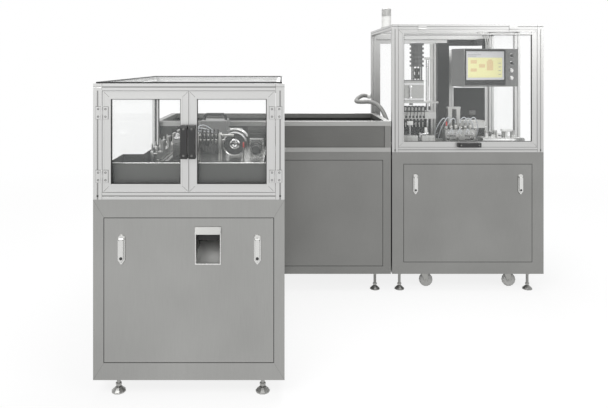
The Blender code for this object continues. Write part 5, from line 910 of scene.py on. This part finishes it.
# %% Feed gears and stop posts
cover_low, cover_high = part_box("gearing_cover")
GEAR_FRONT, GEAR_BACK = -0.014, -0.004
GEARS = ((0.072, 0.085, 0.035, 22), (0.018, 0.068, 0.0215, 14), (0.126, 0.060, 0.0215, 14))
gears, caps, posts = bmesh.new(), bmesh.new(), bmesh.new()
here = Matrix.Translation((cover_low.x, cover_low.y, BED_TOP))
for x, z, radius, teeth in GEARS:
    centre = (cover_low.x + x, BED_TOP + z)
    add_gear(gears, centre, radius, teeth, (cover_low.y + GEAR_FRONT, cover_low.y + GEAR_BACK))
    add_pin(gears, (x, GEAR_FRONT - 0.006, z), (x, -0.0006, z), 0.0075, place=here)
cover_width = cover_high.x - cover_low.x
add_block(gears, (0.004, -0.0035, 0.0003), (cover_width - 0.004, -0.0006, 0.105), 0.0006, here)
make_piece("feed_gears", gears, dark_steel)
back_stop_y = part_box("sealing_bed")[1].y - 0.231
for x, y, height in ((DRUM_X + 0.051, SEAL_FRONT + 0.574, 0.100), (RAIL_X - 0.0535, back_stop_y, 0.058)):
    here = Matrix.Translation((x, y, BED_TOP))
    add_pin(posts, (0, 0, 0.0003), (0, 0, height - 0.028), 0.0040, place=here)
    add_pin(caps, (0, 0, height - 0.0285), (0, 0, height), 0.0042, 0.001, place=here)
make_piece("red_stop_caps", caps, abs_red)
make_piece("stop_posts", posts, zinc)

# %% Cover grip, tray edge and post gaskets
sleeve, tray_edge, gaskets = bmesh.new(), bmesh.new(), bmesh.new()
grip_y, grip_top = (cover_low.y + cover_high.y) / 2, cover_high.z - 0.0055
bend = [(0.012, -0.0335), (0.0125, -0.030), (0.016, -0.008), (0.028, 0.0)]
left = [(cover_low.x + u, grip_y, grip_top + v) for u, v in bend]
right = [(cover_high.x - u, grip_y, grip_top + v) for u, v in reversed(bend)]
add_tube(sleeve, left + right, 0.0084, 16)
make_piece("cover_grip_sleeve", sleeve, rubber, "gearing_cover")
low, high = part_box("sealing_tub")
front_edge = ((low.x, low.y - 0.0004, high.z + 0.0002), (high.x, low.y + 0.0070, high.z + 0.0032))
add_block(tray_edge, *front_edge, 0.0008)
for x0, x1 in ((low.x - 0.0004, low.x + 0.0050), (high.x - 0.0050, high.x + 0.0004)):
    add_block(tray_edge, (x0, low.y + 0.0072, high.z + 0.0002), (x1, low.y + 0.286, high.z + 0.0020), 0.0005)
make_piece("tray_folded_edge", tray_edge, satin_chrome)
post_y = (seal_high.y - PROFILE - 0.0022, seal_high.y - PROFILE - 0.0003)
lip = seal_high.z - RAIL
width = seal_high.x - seal_low.x
for x0, x1 in ((0.016, 0.029), (0.0395, 0.0475), (width - 0.029, width - 0.016)):
    add_block(gaskets, (seal_low.x + x0, post_y[0], seal_low.z + RAIL), (seal_low.x + x1, post_y[1], lip),
              0.0004)
add_block(gaskets, (seal_low.x + PROFILE, post_y[0], lip - 0.0035),
          (seal_high.x - PROFILE, post_y[1], lip + 0.0005), 0.0004)
make_piece("rear_post_gaskets", gaskets, rubber)

# %% [markdown]
# ## Forming module
# The filling station stands on the left of the bed: a tank of mass with a stirrer on top, and a
# head with six nozzles under it that rides a guide rod. Each nozzle has a dosing pump, and a
# black tube loops from each pump to its nozzle.

# %% Guide rod, tank bands and stirrer coupling
WEB_Y, DECK = LINE_FRONT + 0.210, form_low.z + 0.024
ROD = (form_low.x + 0.315, WEB_Y + 0.150, LINE_TABLE)
guide_rod, tank_parts, coupling = bmesh.new(), bmesh.new(), bmesh.new()
sleeve = [(0.01105, 0.0207), (0.0113, 0.0227), (0.0113, 0.6107), (0.01105, 0.6127)]
add_turned(guide_rod, sleeve, ROD, closed=True)
make_piece("guide_rod_sleeve", guide_rod, chrome)
low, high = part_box("hopper_tank")
TANK_X, TANK_Y, BAND = (low.x + high.x) / 2, (low.y + high.y) / 2, 0.0015
around = (low.x - BAND, high.x + BAND, low.y - BAND, high.y + BAND)
for z0, z1 in ((-0.027, -0.015), (-0.131, -0.121)):
    add_ring(tank_parts, around, 0.0017, high.z + z0, high.z + z1, facing="Z")
here = Matrix.Translation((TANK_X - 0.020, low.y, high.z))
add_pin(tank_parts, (0, -0.014, -0.117), (0, -0.014, -0.031), 0.0055, place=here)
for z in (-0.117, -0.039):
    add_block(tank_parts, (-0.009, -0.022, z - 0.009), (0.009, 0.0005, z + 0.007), 0.002, here)
make_piece("tank_bands_and_sight_glass", tank_parts, chrome)
corners = [(x, y, high.z + 0.0066) for x in (low.x + 0.012, high.x - 0.012)
           for y in (low.y + 0.012, high.y - 0.012)]
screws("tank_lid_screws", [(corner, UPWARD) for corner in corners], 0.004, 0.003)
lower_half = [(0.0085, 0.013), (0.017, 0.015), (0.017, 0.041), (0.013, 0.045)]
upper_half = [(0.013, 0.061), (0.017, 0.065), (0.017, 0.087), (0.0085, 0.089)]
add_turned(coupling, lower_half + upper_half, (TANK_X + 0.040, TANK_Y, high.z), closed=True)
make_piece("stirrer_coupling", coupling, dark_steel)

# %% Nozzles' fittings, tubes and screws
NOZZLE_X = [form_low.x + 0.130 + 0.024 * i for i in range(6)]
COLLARS = ((-0.0015, 0.007, 0.0105, 12), (-0.036, -0.026, 0.0104, 12), (-0.106, -0.094, 0.0100, 6))
HEAD_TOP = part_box("nozzle_head")[1].z
fittings, loops = bmesh.new(), bmesh.new()
for x in NOZZLE_X:
    here = Matrix.Translation((x, WEB_Y, HEAD_TOP))
    add_block(fittings, (-0.0075, -0.0365, -0.076), (0.0075, -0.0295, -0.059), 0.0012, here)
    for z0, z1, radius, sides in COLLARS:
        add_pin(fittings, (0, 0, z0), (0, 0, z1), radius, sides=sides, place=here)
    route = [(0, -0.006, -0.0015), (0.001, -0.024, 0.004), (0.002, -0.046, -0.012), (0.001, -0.052, -0.042),
             (0, -0.044, -0.068), (0, -0.034, -0.0675)]
    add_tube(loops, curved(route), 0.0026, 8, here)
make_piece("pump_fittings", fittings, dark_steel, "nozzle_head")
make_piece("pump_tubes", loops, rubber, "nozzle_head")
places = [(x + 0.012, WEB_Y - 0.0304, HEAD_TOP - 0.046) for x in NOZZLE_X[:-1]]
front_screws("nozzle_head_screws", places, 0.0032, 0.0022, zinc, "nozzle_head")

# %% [markdown]
# The valves of the filling station stand in a dark block behind it, in three rows of ten, with
# ports and short tubes on the two lower rows.

# %% Valve block
VALVE_LEFT, VALVE_FRONT, LOWEST_PORT = form_low.x + 0.088, WEB_Y + 0.224, LINE_TABLE + 0.0787
COLUMNS, COLUMN_PITCH, ROW_PITCH = 10, 0.032, 0.070
valve_box, ports, port_tubes = bmesh.new(), bmesh.new(), bmesh.new()
here = Matrix.Translation((VALVE_LEFT, VALVE_FRONT, LINE_TABLE))
add_block(valve_box, (0, 0, 0.0003), (0.324, 0.052, 0.2697), 0.004, here)
for row in range(3):
    for i in range(COLUMNS):
        place = (VALVE_LEFT + 0.018 + COLUMN_PITCH * i, VALVE_FRONT, LOWEST_PORT + ROW_PITCH * row)
        here = Matrix.Translation(place)
        add_block(valve_box, (-0.012, -0.020, -0.026), (0.012, 0.001, 0.026), 0.002, here)
        if row < 2:
            add_pin(ports, (0, -0.019, 0), (0, -0.032, 0), 0.0055, sides=10, place=here)
            route = [(0, -0.031, 0), (0.002, -0.036, 0.012), (0.004, -0.030, 0.040), (0.006, -0.020, 0.062)]
            add_tube(port_tubes, curved(route, 5), 0.003, 8, here)
make_piece("valve_block", valve_box, powder_dark)
make_piece("valve_ports", ports, chrome)
make_piece("valve_tubes", port_tubes, rubber)

# %% Strip guide and sensors
RIB_PITCH, SENSOR_X = 0.009, 0.150
ribs, bright, housings = bmesh.new(), bmesh.new(), bmesh.new()
here = Matrix.Translation((form_low.x, WEB_Y, DECK))
for start, end in ((0.100, 0.196), (0.222, 0.312)):
    for i in range(int((end - start - 0.006) / RIB_PITCH) + 1):
        x = start + 0.005 + RIB_PITCH * i
        add_pin(ribs, (x, -0.0855, 0.004), (x, -0.0855, 0.069), 0.0033, sides=10, place=here)
make_piece("guide_block_ribs", ribs, abs_light)
over = Matrix.Translation((form_low.x + SENSOR_X, WEB_Y, DECK))
add_block(housings, (-0.020, -0.062, 0.1387), (0.020, -0.046, 0.1667), 0.002, over)
add_block(housings, (0.100, -0.060, 0.0807), (0.118, -0.046, 0.1227), 0.002, over)
for x, top in ((0, 0.1397), (0.109, 0.0817)):
    add_pin(bright, (x, -0.054, 0.070), (x, -0.054, top), 0.004, place=over)
make_piece("strip_sensors", housings, abs_light)
add_pin(bright, (0.208, -0.100, -0.0005), (0.208, -0.100, 0.092), 0.006, place=here)
add_pin(bright, (0.212, -0.100, 0.080), (0.268, -0.100, 0.088), 0.0045, place=here)
make_piece("sensor_posts", bright, chrome)

# %% [markdown]
# The front forming die carries two rows of hose fittings, some joined by short loops. Heater
# terminals stand in a row on the rear die, and their pale hoses fall away to both sides behind it.

# %% Forming dies
die_low, die_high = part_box("forming_die_front")
DIE_FACE, FITTINGS, FITTING_PITCH, UPPER_ROW = WEB_Y - 0.045, 7, 0.0275, 0.082
die_fittings, die_tubes, die_plates = bmesh.new(), bmesh.new(), bmesh.new()
for i in range(FITTINGS):
    for up in (0.022, UPPER_ROW):
        here = Matrix.Translation((die_low.x + 0.020 + FITTING_PITCH * i, DIE_FACE, die_low.z + up))
        add_pin(die_fittings, (0, 0.0005, 0), (0, -0.010, 0), 0.0062, sides=6, place=here)
        add_pin(die_fittings, (0, -0.0095, 0), (0, -0.018, 0), 0.0042, sides=12, place=here)
    if i in (0, 2, 4):
        loop = [(0, -0.017, 0), (0.002, -0.032, 0.006), (0.0137, -0.036, 0.034), (0.0255, -0.032, 0.006),
                (0.0275, -0.017, 0)]
        add_tube(die_tubes, curved(loop), 0.0028, 8, here)
for z in (die_low.z + 0.040, die_low.z + 0.064):
    for x in (die_low.x + 0.012, die_high.x - 0.070):
        add_block(die_plates, (x, DIE_FACE - 0.004, z - 0.0035), (x + 0.058, DIE_FACE + 0.0005, z + 0.0035),
                  0.001)
make_piece("die_fittings", die_fittings, chrome, "forming_die_front")
make_piece("die_tubes", die_tubes, air_tube, "forming_die_front")
make_piece("die_plates", die_plates, dark_steel, "forming_die_front")

rear_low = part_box("forming_die_rear")[0]
TERMINALS, TERMINAL_PITCH = 6, 0.033
terminals, hoses, cap, slide = (bmesh.new() for _ in range(4))
for i in range(TERMINALS):
    here = Matrix.Translation((rear_low.x + 0.020 + TERMINAL_PITCH * i, WEB_Y, rear_low.z))
    add_block(terminals, (-0.011, 0.006, 0.1045), (0.011, 0.038, 0.122 + 0.006 * (i % 3)), 0.002, here)
    add_pin(terminals, (0, 0.022, 0.120), (0, 0.022, 0.146), 0.0055, sides=12, place=here)
    way = -1 if i < TERMINALS / 2 else 1
    route = [(0, 0.022, 0.144), (0.004, 0.014, 0.172), (0.030, -0.004, 0.176 + 0.008 * (i % 2)),
             (0.062, 0.030, 0.110), (0.066, 0.095, 0.030), (0.060, 0.100, 0.001)]
    add_tube(hoses, curved([(way * x, y, z) for x, y, z in route]), 0.0034, 8, here)
here = Matrix.Translation((rear_low.x, WEB_Y, rear_low.z))
add_block(cap, (0.016, 0.002, 0.128), (0.026, 0.008, 0.158), 0.002, here)
here = Matrix.Translation((form_low.x + 0.482, WEB_Y, rear_low.z + 0.125))
add_block(slide, (-0.015, 0.0455, 0), (0.015, 0.0503, 0.116), 0.001, here)
add_pin(slide, (0, 0.041, 0.002), (0, 0.041, 0.108), 0.0048, place=here)
make_piece("heater_terminals", terminals, zinc)
make_piece("heater_hoses", hoses, air_tube)
make_piece("terminal_cap", cap, abs_red)
make_piece("twin_column_slide", slide, dark_steel)
sides = (die_low.x + 0.010, die_high.x - 0.010)
places = [(x, WEB_Y - 0.0452, die_low.z + up) for x in sides for up in (0.010, 0.095)]
front_screws("platen_screws", places, 0.0038, 0.0024, zinc, "forming_die_front")

# %% Roller table
TABLE_LEFT, TABLE_RIGHT = form_low.x + 0.640, form_high.x - 0.080
trim, rollers = bmesh.new(), bmesh.new()
add_block(trim, (TABLE_LEFT - 0.002, WEB_Y - 0.0945, DECK + 0.002),
          (TABLE_RIGHT + 0.002, WEB_Y - 0.0898, DECK + 0.050), 0.001)
add_block(trim, (TABLE_LEFT, WEB_Y - 0.0895, form_low.z + 0.0752),
          (TABLE_RIGHT, WEB_Y - 0.048, form_low.z + 0.079), 0.001)
make_piece("roller_table_cover", trim, anodised)
here = Matrix.Translation((TABLE_LEFT, WEB_Y - 0.068, form_low.z + 0.0787))
pins = ((0.030, 0.0283, 0.009), (0.075, 0.0203, 0.013), (0.105, 0.0343, 0.006), (0.220, 0.0163, 0.010),
        (0.165, 0.0433, 0.008))
for x, height, radius in pins:
    add_pin(rollers, (x, 0, 0), (x, 0, height), radius, place=here)
add_block(rollers, (0.131, -0.018, 0.0428), (0.199, 0.018, 0.0583), 0.002, here)
make_piece("roller_table_parts", rollers, abs_light)

# %% Wiring board, film windings and panel post
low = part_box("control_board")[0]
socket_plate, wound, post = bmesh.new(), bmesh.new(), bmesh.new()
add_block(socket_plate, (0.120, -0.0025, 0.190), (0.168, 0.0003, 0.222), 0.0008, Matrix.Translation(low))
make_piece("board_socket", socket_plate, powder)
low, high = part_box("film_reel")
reel_centre = ((low.x + high.x) / 2, (low.y + high.y) / 2, 0)
TURNS, FIRST_TURN, TURN_STEP = 24, 0.0345, 0.0022
turns = [(FIRST_TURN + TURN_STEP * (i + (i % 2) / 2), high.z - 0.0055 + 0.0012 * (i % 2))
         for i in range(TURNS)]
under = low.z + 0.046
add_turned(wound, [(turns[0][0], under), *turns, (turns[-1][0], under)], reel_centre, closed=True, sides=36)
make_piece("film_windings", wound, film, "film_reel")
here = Matrix.Translation((form_low.x + 0.511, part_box("hmi_arm")[0].y + 0.211, LINE_TABLE))
for x0, x1, y0 in ((0.0, 0.013, 0.0), (0.013, 0.024, 0.004), (0.024, 0.037, 0.0)):
    add_block(post, (x0, y0, 0.0003), (x1 + 0.0002, 0.036, 0.6847), 0.0006, here)
make_piece("panel_post", post, anodised_painted_shade)

# %% [markdown]
# ## Operator panel
# The box hangs at an angle under its arm. Its screen shows a plain generic page: a grey title bar
# over a pale yellow field with a few tan symbols. Two selectors and two push buttons sit beside it.

# %% Screen pages
panel_foot, panel_top = [corner.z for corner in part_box("hmi_box")]
PANEL_TURN = math.radians(14)
HMI = Matrix.Translation((form_high.x - 0.282, LINE_FRONT + 0.330, panel_foot))
HMI = HMI @ Matrix.Rotation(PANEL_TURN, 4, "Z")
SCREEN_FRONT, SCREEN_X, SCREEN_Z = -0.0892, (-0.198, 0.097), (0.0485, 0.2475)
FIELD_LEFT, FIELD_RIGHT, FIELD_LOW = SCREEN_X[0] + 0.013, SCREEN_X[1] - 0.014, SCREEN_Z[0] + 0.016


def lit_material(name, code):
    material = start_material(name, code, 0.35, 0.0, Emission_Color=linear(code), Emission_Strength=0.08)[0]
    slot_of[name] = "screen"
    return material


def display_sheet(name, material, boxes, front):
    form = bmesh.new()
    for x0, x1, z0, z1 in boxes:
        add_block(form, (x0, front - 0.0002, z0), (x1, front + 0.0001, z1), 0, HMI)
    make_piece(name, form, material, "operator_panel")


nodes["hmi_screen"].data.materials.clear()
nodes["hmi_screen"].data.materials.append(lit_material("screen_grey", "C4C4C6"))
field = (FIELD_LEFT, FIELD_RIGHT, FIELD_LOW, SCREEN_Z[1] - 0.044)
display_sheet("screen_field", lit_material("screen_yellow", "DEDBA4"), [field], SCREEN_FRONT)
symbols = [(0.020, 0.068, 0.098, 0.122), (0.020, 0.068, 0.042, 0.064), (0.086, 0.132, 0.070, 0.094),
           (0.146, 0.196, 0.050, 0.116), (0.156, 0.186, 0.116, 0.126)]
symbols = [(FIELD_LEFT + a, FIELD_LEFT + b, FIELD_LOW + c, FIELD_LOW + d) for a, b, c, d in symbols]
display_sheet("screen_symbols", lit_material("screen_tan", "D2BB8E"), symbols, SCREEN_FRONT - 0.0003)
title_left = SCREEN_X[0] + 0.012
rows = [(title_left, SCREEN_X[1] - 0.180, SCREEN_Z[1] - 0.026, SCREEN_Z[1] - 0.022),
        (title_left, SCREEN_X[1] - 0.220, SCREEN_Z[1] - 0.036, SCREEN_Z[1] - 0.033)]
for i in range(4):
    row_low = FIELD_LOW + 0.020 + 0.026 * i
    rows.append((FIELD_RIGHT - 0.030, FIELD_RIGHT - 0.010, row_low, row_low + 0.004))
display_sheet("screen_lines", lit_material("screen_line", "9A9A9A"), rows, SCREEN_FRONT - 0.0003)

# %% Bezel, knob rings, painted edge highlight and cables
BEZEL_FRONT, CONTROL_X, SELECTOR_Z, BUTTON_Z = -0.091, 0.160, (0.218, 0.165), (0.113, 0.060)
bezel, rings, edge_highlight_strip, cables = (bmesh.new() for _ in range(4))
bars = ((-0.2103, 0.1073, 0.0142, 0.0478), (-0.2103, 0.1073, 0.2482, 0.2598),
        (-0.2103, -0.1987, 0.0476, 0.2484), (0.0977, 0.1073, 0.0476, 0.2484))
for x0, x1, z0, z1 in bars:
    add_block(bezel, (x0, BEZEL_FRONT - 0.0009, z0), (x1, BEZEL_FRONT + 0.001, z1), 0.0002, HMI)
make_piece("screen_bezel", bezel, powder_dark, "operator_panel")
ring = [(0.0119, 0.0008), (0.0119, -0.0022), (0.0128, -0.0032), (0.0150, -0.0024), (0.0158, 0.0008)]
for z in (*SELECTOR_Z, *BUTTON_Z):
    add_turned(rings, ring, (CONTROL_X, -0.085, z), ALONG_Y, 24, True, HMI)
make_piece("control_rings", rings, chrome, "operator_panel")
for name, z in zip(("selector_upper", "selector_lower"), SELECTOR_Z):
    mark = bmesh.new()
    add_block(mark, (CONTROL_X - 0.0008, -0.1033, z + 0.001), (CONTROL_X + 0.0008, -0.1026, z + 0.0095),
              0.0002, HMI)
    make_piece(name + "_mark", mark, abs_light, name)
# A thin chrome strip down the box's left front edge is a painted highlight.
add_block(edge_highlight_strip, (-0.2117, -0.0862, 0.004), (-0.2103, -0.0848, 0.262), 0.0005, HMI)
make_piece("panel_box_painted_highlight", edge_highlight_strip, chrome, "operator_panel")
here = Matrix.Translation((form_high.x, LINE_FRONT, form_high.z))
entry = panel_top + 0.0006 - form_high.z
for i in range(3):
    x, end = -0.4365 + 0.022 * i, -0.2885 + 0.014 * i
    route = [(x, 0.044, -0.018), (x + 0.006, 0.080, -0.034), (x + 0.060, 0.190, -0.0438 - 0.006 * i),
             (end - 0.018, 0.262, -0.0698), (end, 0.280, -0.1098), (end + 0.002, 0.284, entry)]
    add_tube(cables, curved(route, 8), 0.0038, 10, here)
make_piece("panel_cables", cables, abs_light)

# %% [markdown]
# ## Outside the guards
# The skins of the cooling module are darker sheet behind its light rails. Behind the sealing
# module its front takes dark sheet as painted shade, and a dark liner lines its back inside. The signal
# lamp has a ribbed frosted lens, and the casters have turned hubs.

# %% Cooling skins, painted shade and liner
skins, liner_and_shade, notches, rail_faces = (bmesh.new() for _ in range(4))
skin_z = (cool_low.z + RAIL + 0.0006, cool_high.z - RAIL - 0.0006)
SKIN, REAR_SKIN = (LINE_FRONT + 0.0090, LINE_FRONT + 0.0102), (cool_high.y - 0.0160, cool_high.y - 0.0148)
skin_left, skin_right = cool_low.x + PROFILE + 0.0006, cool_high.x - PROFILE - 0.0006
add_block(skins, (seal_low.x + 0.620, SKIN[0], skin_z[0]), (skin_right, SKIN[1], skin_z[1]))
# These two dark sheets behind the sealing module are painted shade.
for start, end in ((0.0406, 0.2145), (0.2755, 0.6195)):
    add_block(liner_and_shade, (seal_low.x + start, SKIN[0], skin_z[0]), (seal_low.x + end, SKIN[1], skin_z[1]))
add_block(liner_and_shade, (skin_left, REAR_SKIN[0], skin_z[0]), (skin_right, REAR_SKIN[1], skin_z[1]))
for x in (cool_high.x - 0.340, cool_high.x - 0.212):
    add_block(notches, (x - 0.004, cool_high.y - 0.0172, cool_low.z + 0.130),
              (x + 0.004, cool_high.y - 0.0161, cool_low.z + 0.172))
for z0, z1 in ((cool_high.z - 0.030, cool_high.z - 0.001), (cool_low.z + 0.002, cool_low.z + 0.030)):
    add_block(rail_faces, (cool_low.x + 0.001, LINE_FRONT - 0.0004, z0),
              (cool_high.x - 0.001, LINE_FRONT + 0.0002, z1))
make_piece("cooling_skin", skins, skin_sheet)
make_piece("cooling_liner_and_painted_shade", liner_and_shade, liner_and_shade_sheet)
make_piece("liner_notches", notches, rubber)
make_piece("cooling_rail_faces", rail_faces, steel_rail)

# %% Signal lamp
low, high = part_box("beacon")
LAMP = ((low.x + high.x) / 2, (low.y + high.y) / 2, low.z)
RIBS, RIB_HEIGHT, LOWEST_RIB = 11, 0.0042, 0.094
LENS_RADIUS, RIB_RADIUS, COLLAR_RADIUS = 0.0338, 0.0352, 0.0346
ribs, collar = bmesh.new(), bmesh.new()
for i in range(RIBS):
    z = LOWEST_RIB + RIB_HEIGHT * i
    add_turned(ribs, [(LENS_RADIUS, z - 0.0014), (RIB_RADIUS, z), (LENS_RADIUS, z + 0.0014)], LAMP,
               closed=True, sides=28)
for z, top in ((0.0062, 0.0802), (0.0815, 0.0860)):
    profile = [(LENS_RADIUS, z), (COLLAR_RADIUS, z + 0.0006), (COLLAR_RADIUS, top - 0.0006),
               (LENS_RADIUS, top)]
    add_turned(collar, profile, LAMP, closed=True, sides=28)
make_piece("lamp_lens_ribs", ribs, lens_grey)
make_piece("lamp_base_cover", collar, abs_light)

# %% [markdown]
# The corrugated conduit leaves the rear post of the forming module, loops out over the cooling
# module and comes back to a gland on the table. It takes the place of the plain CAD tube.

# %% Conduit
post_x, post_y = form_low.x - 0.0003, form_high.y - PROFILE / 2
gland_x, gland_y = form_low.x + 0.072, LINE_FRONT + 0.460
HOSE_RADIUS, CORRUGATION, GROOVE, HOSE_EXIT = 0.016, 0.0070, 0.0018, 1.235
hose_points = [
    (post_x, post_y, HOSE_EXIT), (post_x - 0.015, post_y, HOSE_EXIT), (post_x - 0.030, post_y, HOSE_EXIT),
    (post_x - 0.070, post_y - 0.020, 1.238), (post_x - 0.110, post_y - 0.060, 1.222),
    (post_x - 0.135, post_y - 0.130, 1.200), (post_x - 0.105, post_y - 0.200, 1.198),
    (post_x - 0.050, post_y - 0.250, 1.202), (post_x - 0.005, post_y - 0.310, 1.190),
    (post_x + 0.030, post_y - 0.370, 1.150), (post_x + 0.055, post_y - 0.430, 1.080),
    (gland_x - 0.004, gland_y + 0.050, 1.020), (gland_x, gland_y, 0.975), (gland_x, gland_y, 0.960),
    (gland_x, gland_y, LINE_TABLE + 0.030),
]
hose_path = curved(hose_points, 10)
hose_length = sum((b - a).length for a, b in zip(hose_path, hose_path[1:]))


def evenly_along(path, length, steps):
    """Places at even steps along a path, each with the direction that the path has there."""
    walked, i, places = 0.0, 0, []
    for step in range(steps + 1):
        target = min(length * step / steps, length - 1e-6)
        while i < len(path) - 2 and walked + (path[i + 1] - path[i]).length < target:
            walked += (path[i + 1] - path[i]).length
            i += 1
        part = path[i + 1] - path[i]
        places.append((path[i] + part * ((target - walked) / part.length), part.normalized()))
    return places


def corrugated(form, path, length, radius, sides=20):
    """A tube whose radius swells and shrinks along its length, as a corrugated conduit's does."""
    places = evenly_along(path, length, int(length / CORRUGATION) * 4)
    across, rings = places[0][1].orthogonal().normalized(), []
    for step, (place, heading) in enumerate(places):
        across = (across - heading * across.dot(heading)).normalized()
        up = heading.cross(across)
        size = radius - GROOVE * (0.5 - 0.5 * math.cos(math.pi * step / 2))
        angles = [math.tau * k / sides for k in range(sides)]
        rings.append([form.verts.new(place + (across * math.cos(a) + up * math.sin(a)) * size)
                      for a in angles])
    for one, two in zip(rings, rings[1:]):
        for k in range(sides):
            j = (k + 1) % sides
            form.faces.new((one[k], one[j], two[j], two[k]))
    form.faces.new(rings[0][::-1])
    form.faces.new(rings[-1])


hose, connector = bmesh.new(), bmesh.new()
corrugated(hose, hose_path, hose_length, HOSE_RADIUS)
hose_piece = make_piece("hose_corrugated", hose, hose_grey, sharp=60)
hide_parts("hose_conduit")
print("conduit", round(hose_length, 3), "m long")
nut = [(0.0165, -0.006), (0.0235, -0.006), (0.0235, -0.024), (0.0205, -0.030), (0.0165, -0.032)]
add_turned(connector, nut, (form_low.x + 0.0002, post_y, HOSE_EXIT), (1, 0, 0), 24, True)
make_piece("hose_connector", connector, abs_light)

# %% Caster hubs and foot nuts
for wheel in ("caster_wheel_left", "caster_wheel_right", "rear_wheel_left", "rear_wheel_right"):
    low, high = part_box(wheel)
    half = (high.y - low.y) / 2
    hub = bmesh.new()
    for way in (-1, 1):
        dish = ((0.0060, 0.0042), (0.0150, 0.0004), (0.0240, 0.0030), (0.0300, 0.0042))
        profile = [(radius, way * (half - sunk)) for radius, sunk in dish]
        add_turned(hub, profile, (low + high) / 2, ALONG_Y, 28, True)
    make_piece(wheel + "_hub", hub, zinc, wheel)

STEM_RADIUS, LOWER_NUT = 0.0088, (0.0140, 0.030, 0.040)
feet = [(x, SEAL_FRONT + 0.060, 0.080) for x in (seal_low.x + 0.100, seal_high.x - 0.100)]
line_feet = (cool_low.x + 0.100, cool_high.x - 0.100, form_low.x + 0.055, form_high.x - 0.093)
feet += [(x, LINE_FRONT + 0.040, 0.112) for x in line_feet]
nuts = bmesh.new()
for x, y, under in feet:
    for radius, low, high in ((0.0155, under - 0.012, under - 0.0004), LOWER_NUT):
        ring = [(STEM_RADIUS, low), (radius, low), (radius, high), (STEM_RADIUS, high)]
        add_turned(nuts, ring, (x, y, 0), closed=True, sides=6)
make_piece("foot_nuts", nuts, zinc)

# %% Sizes
low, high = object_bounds()
print("visual box", [round(v, 4) for v in (*low, *high)])
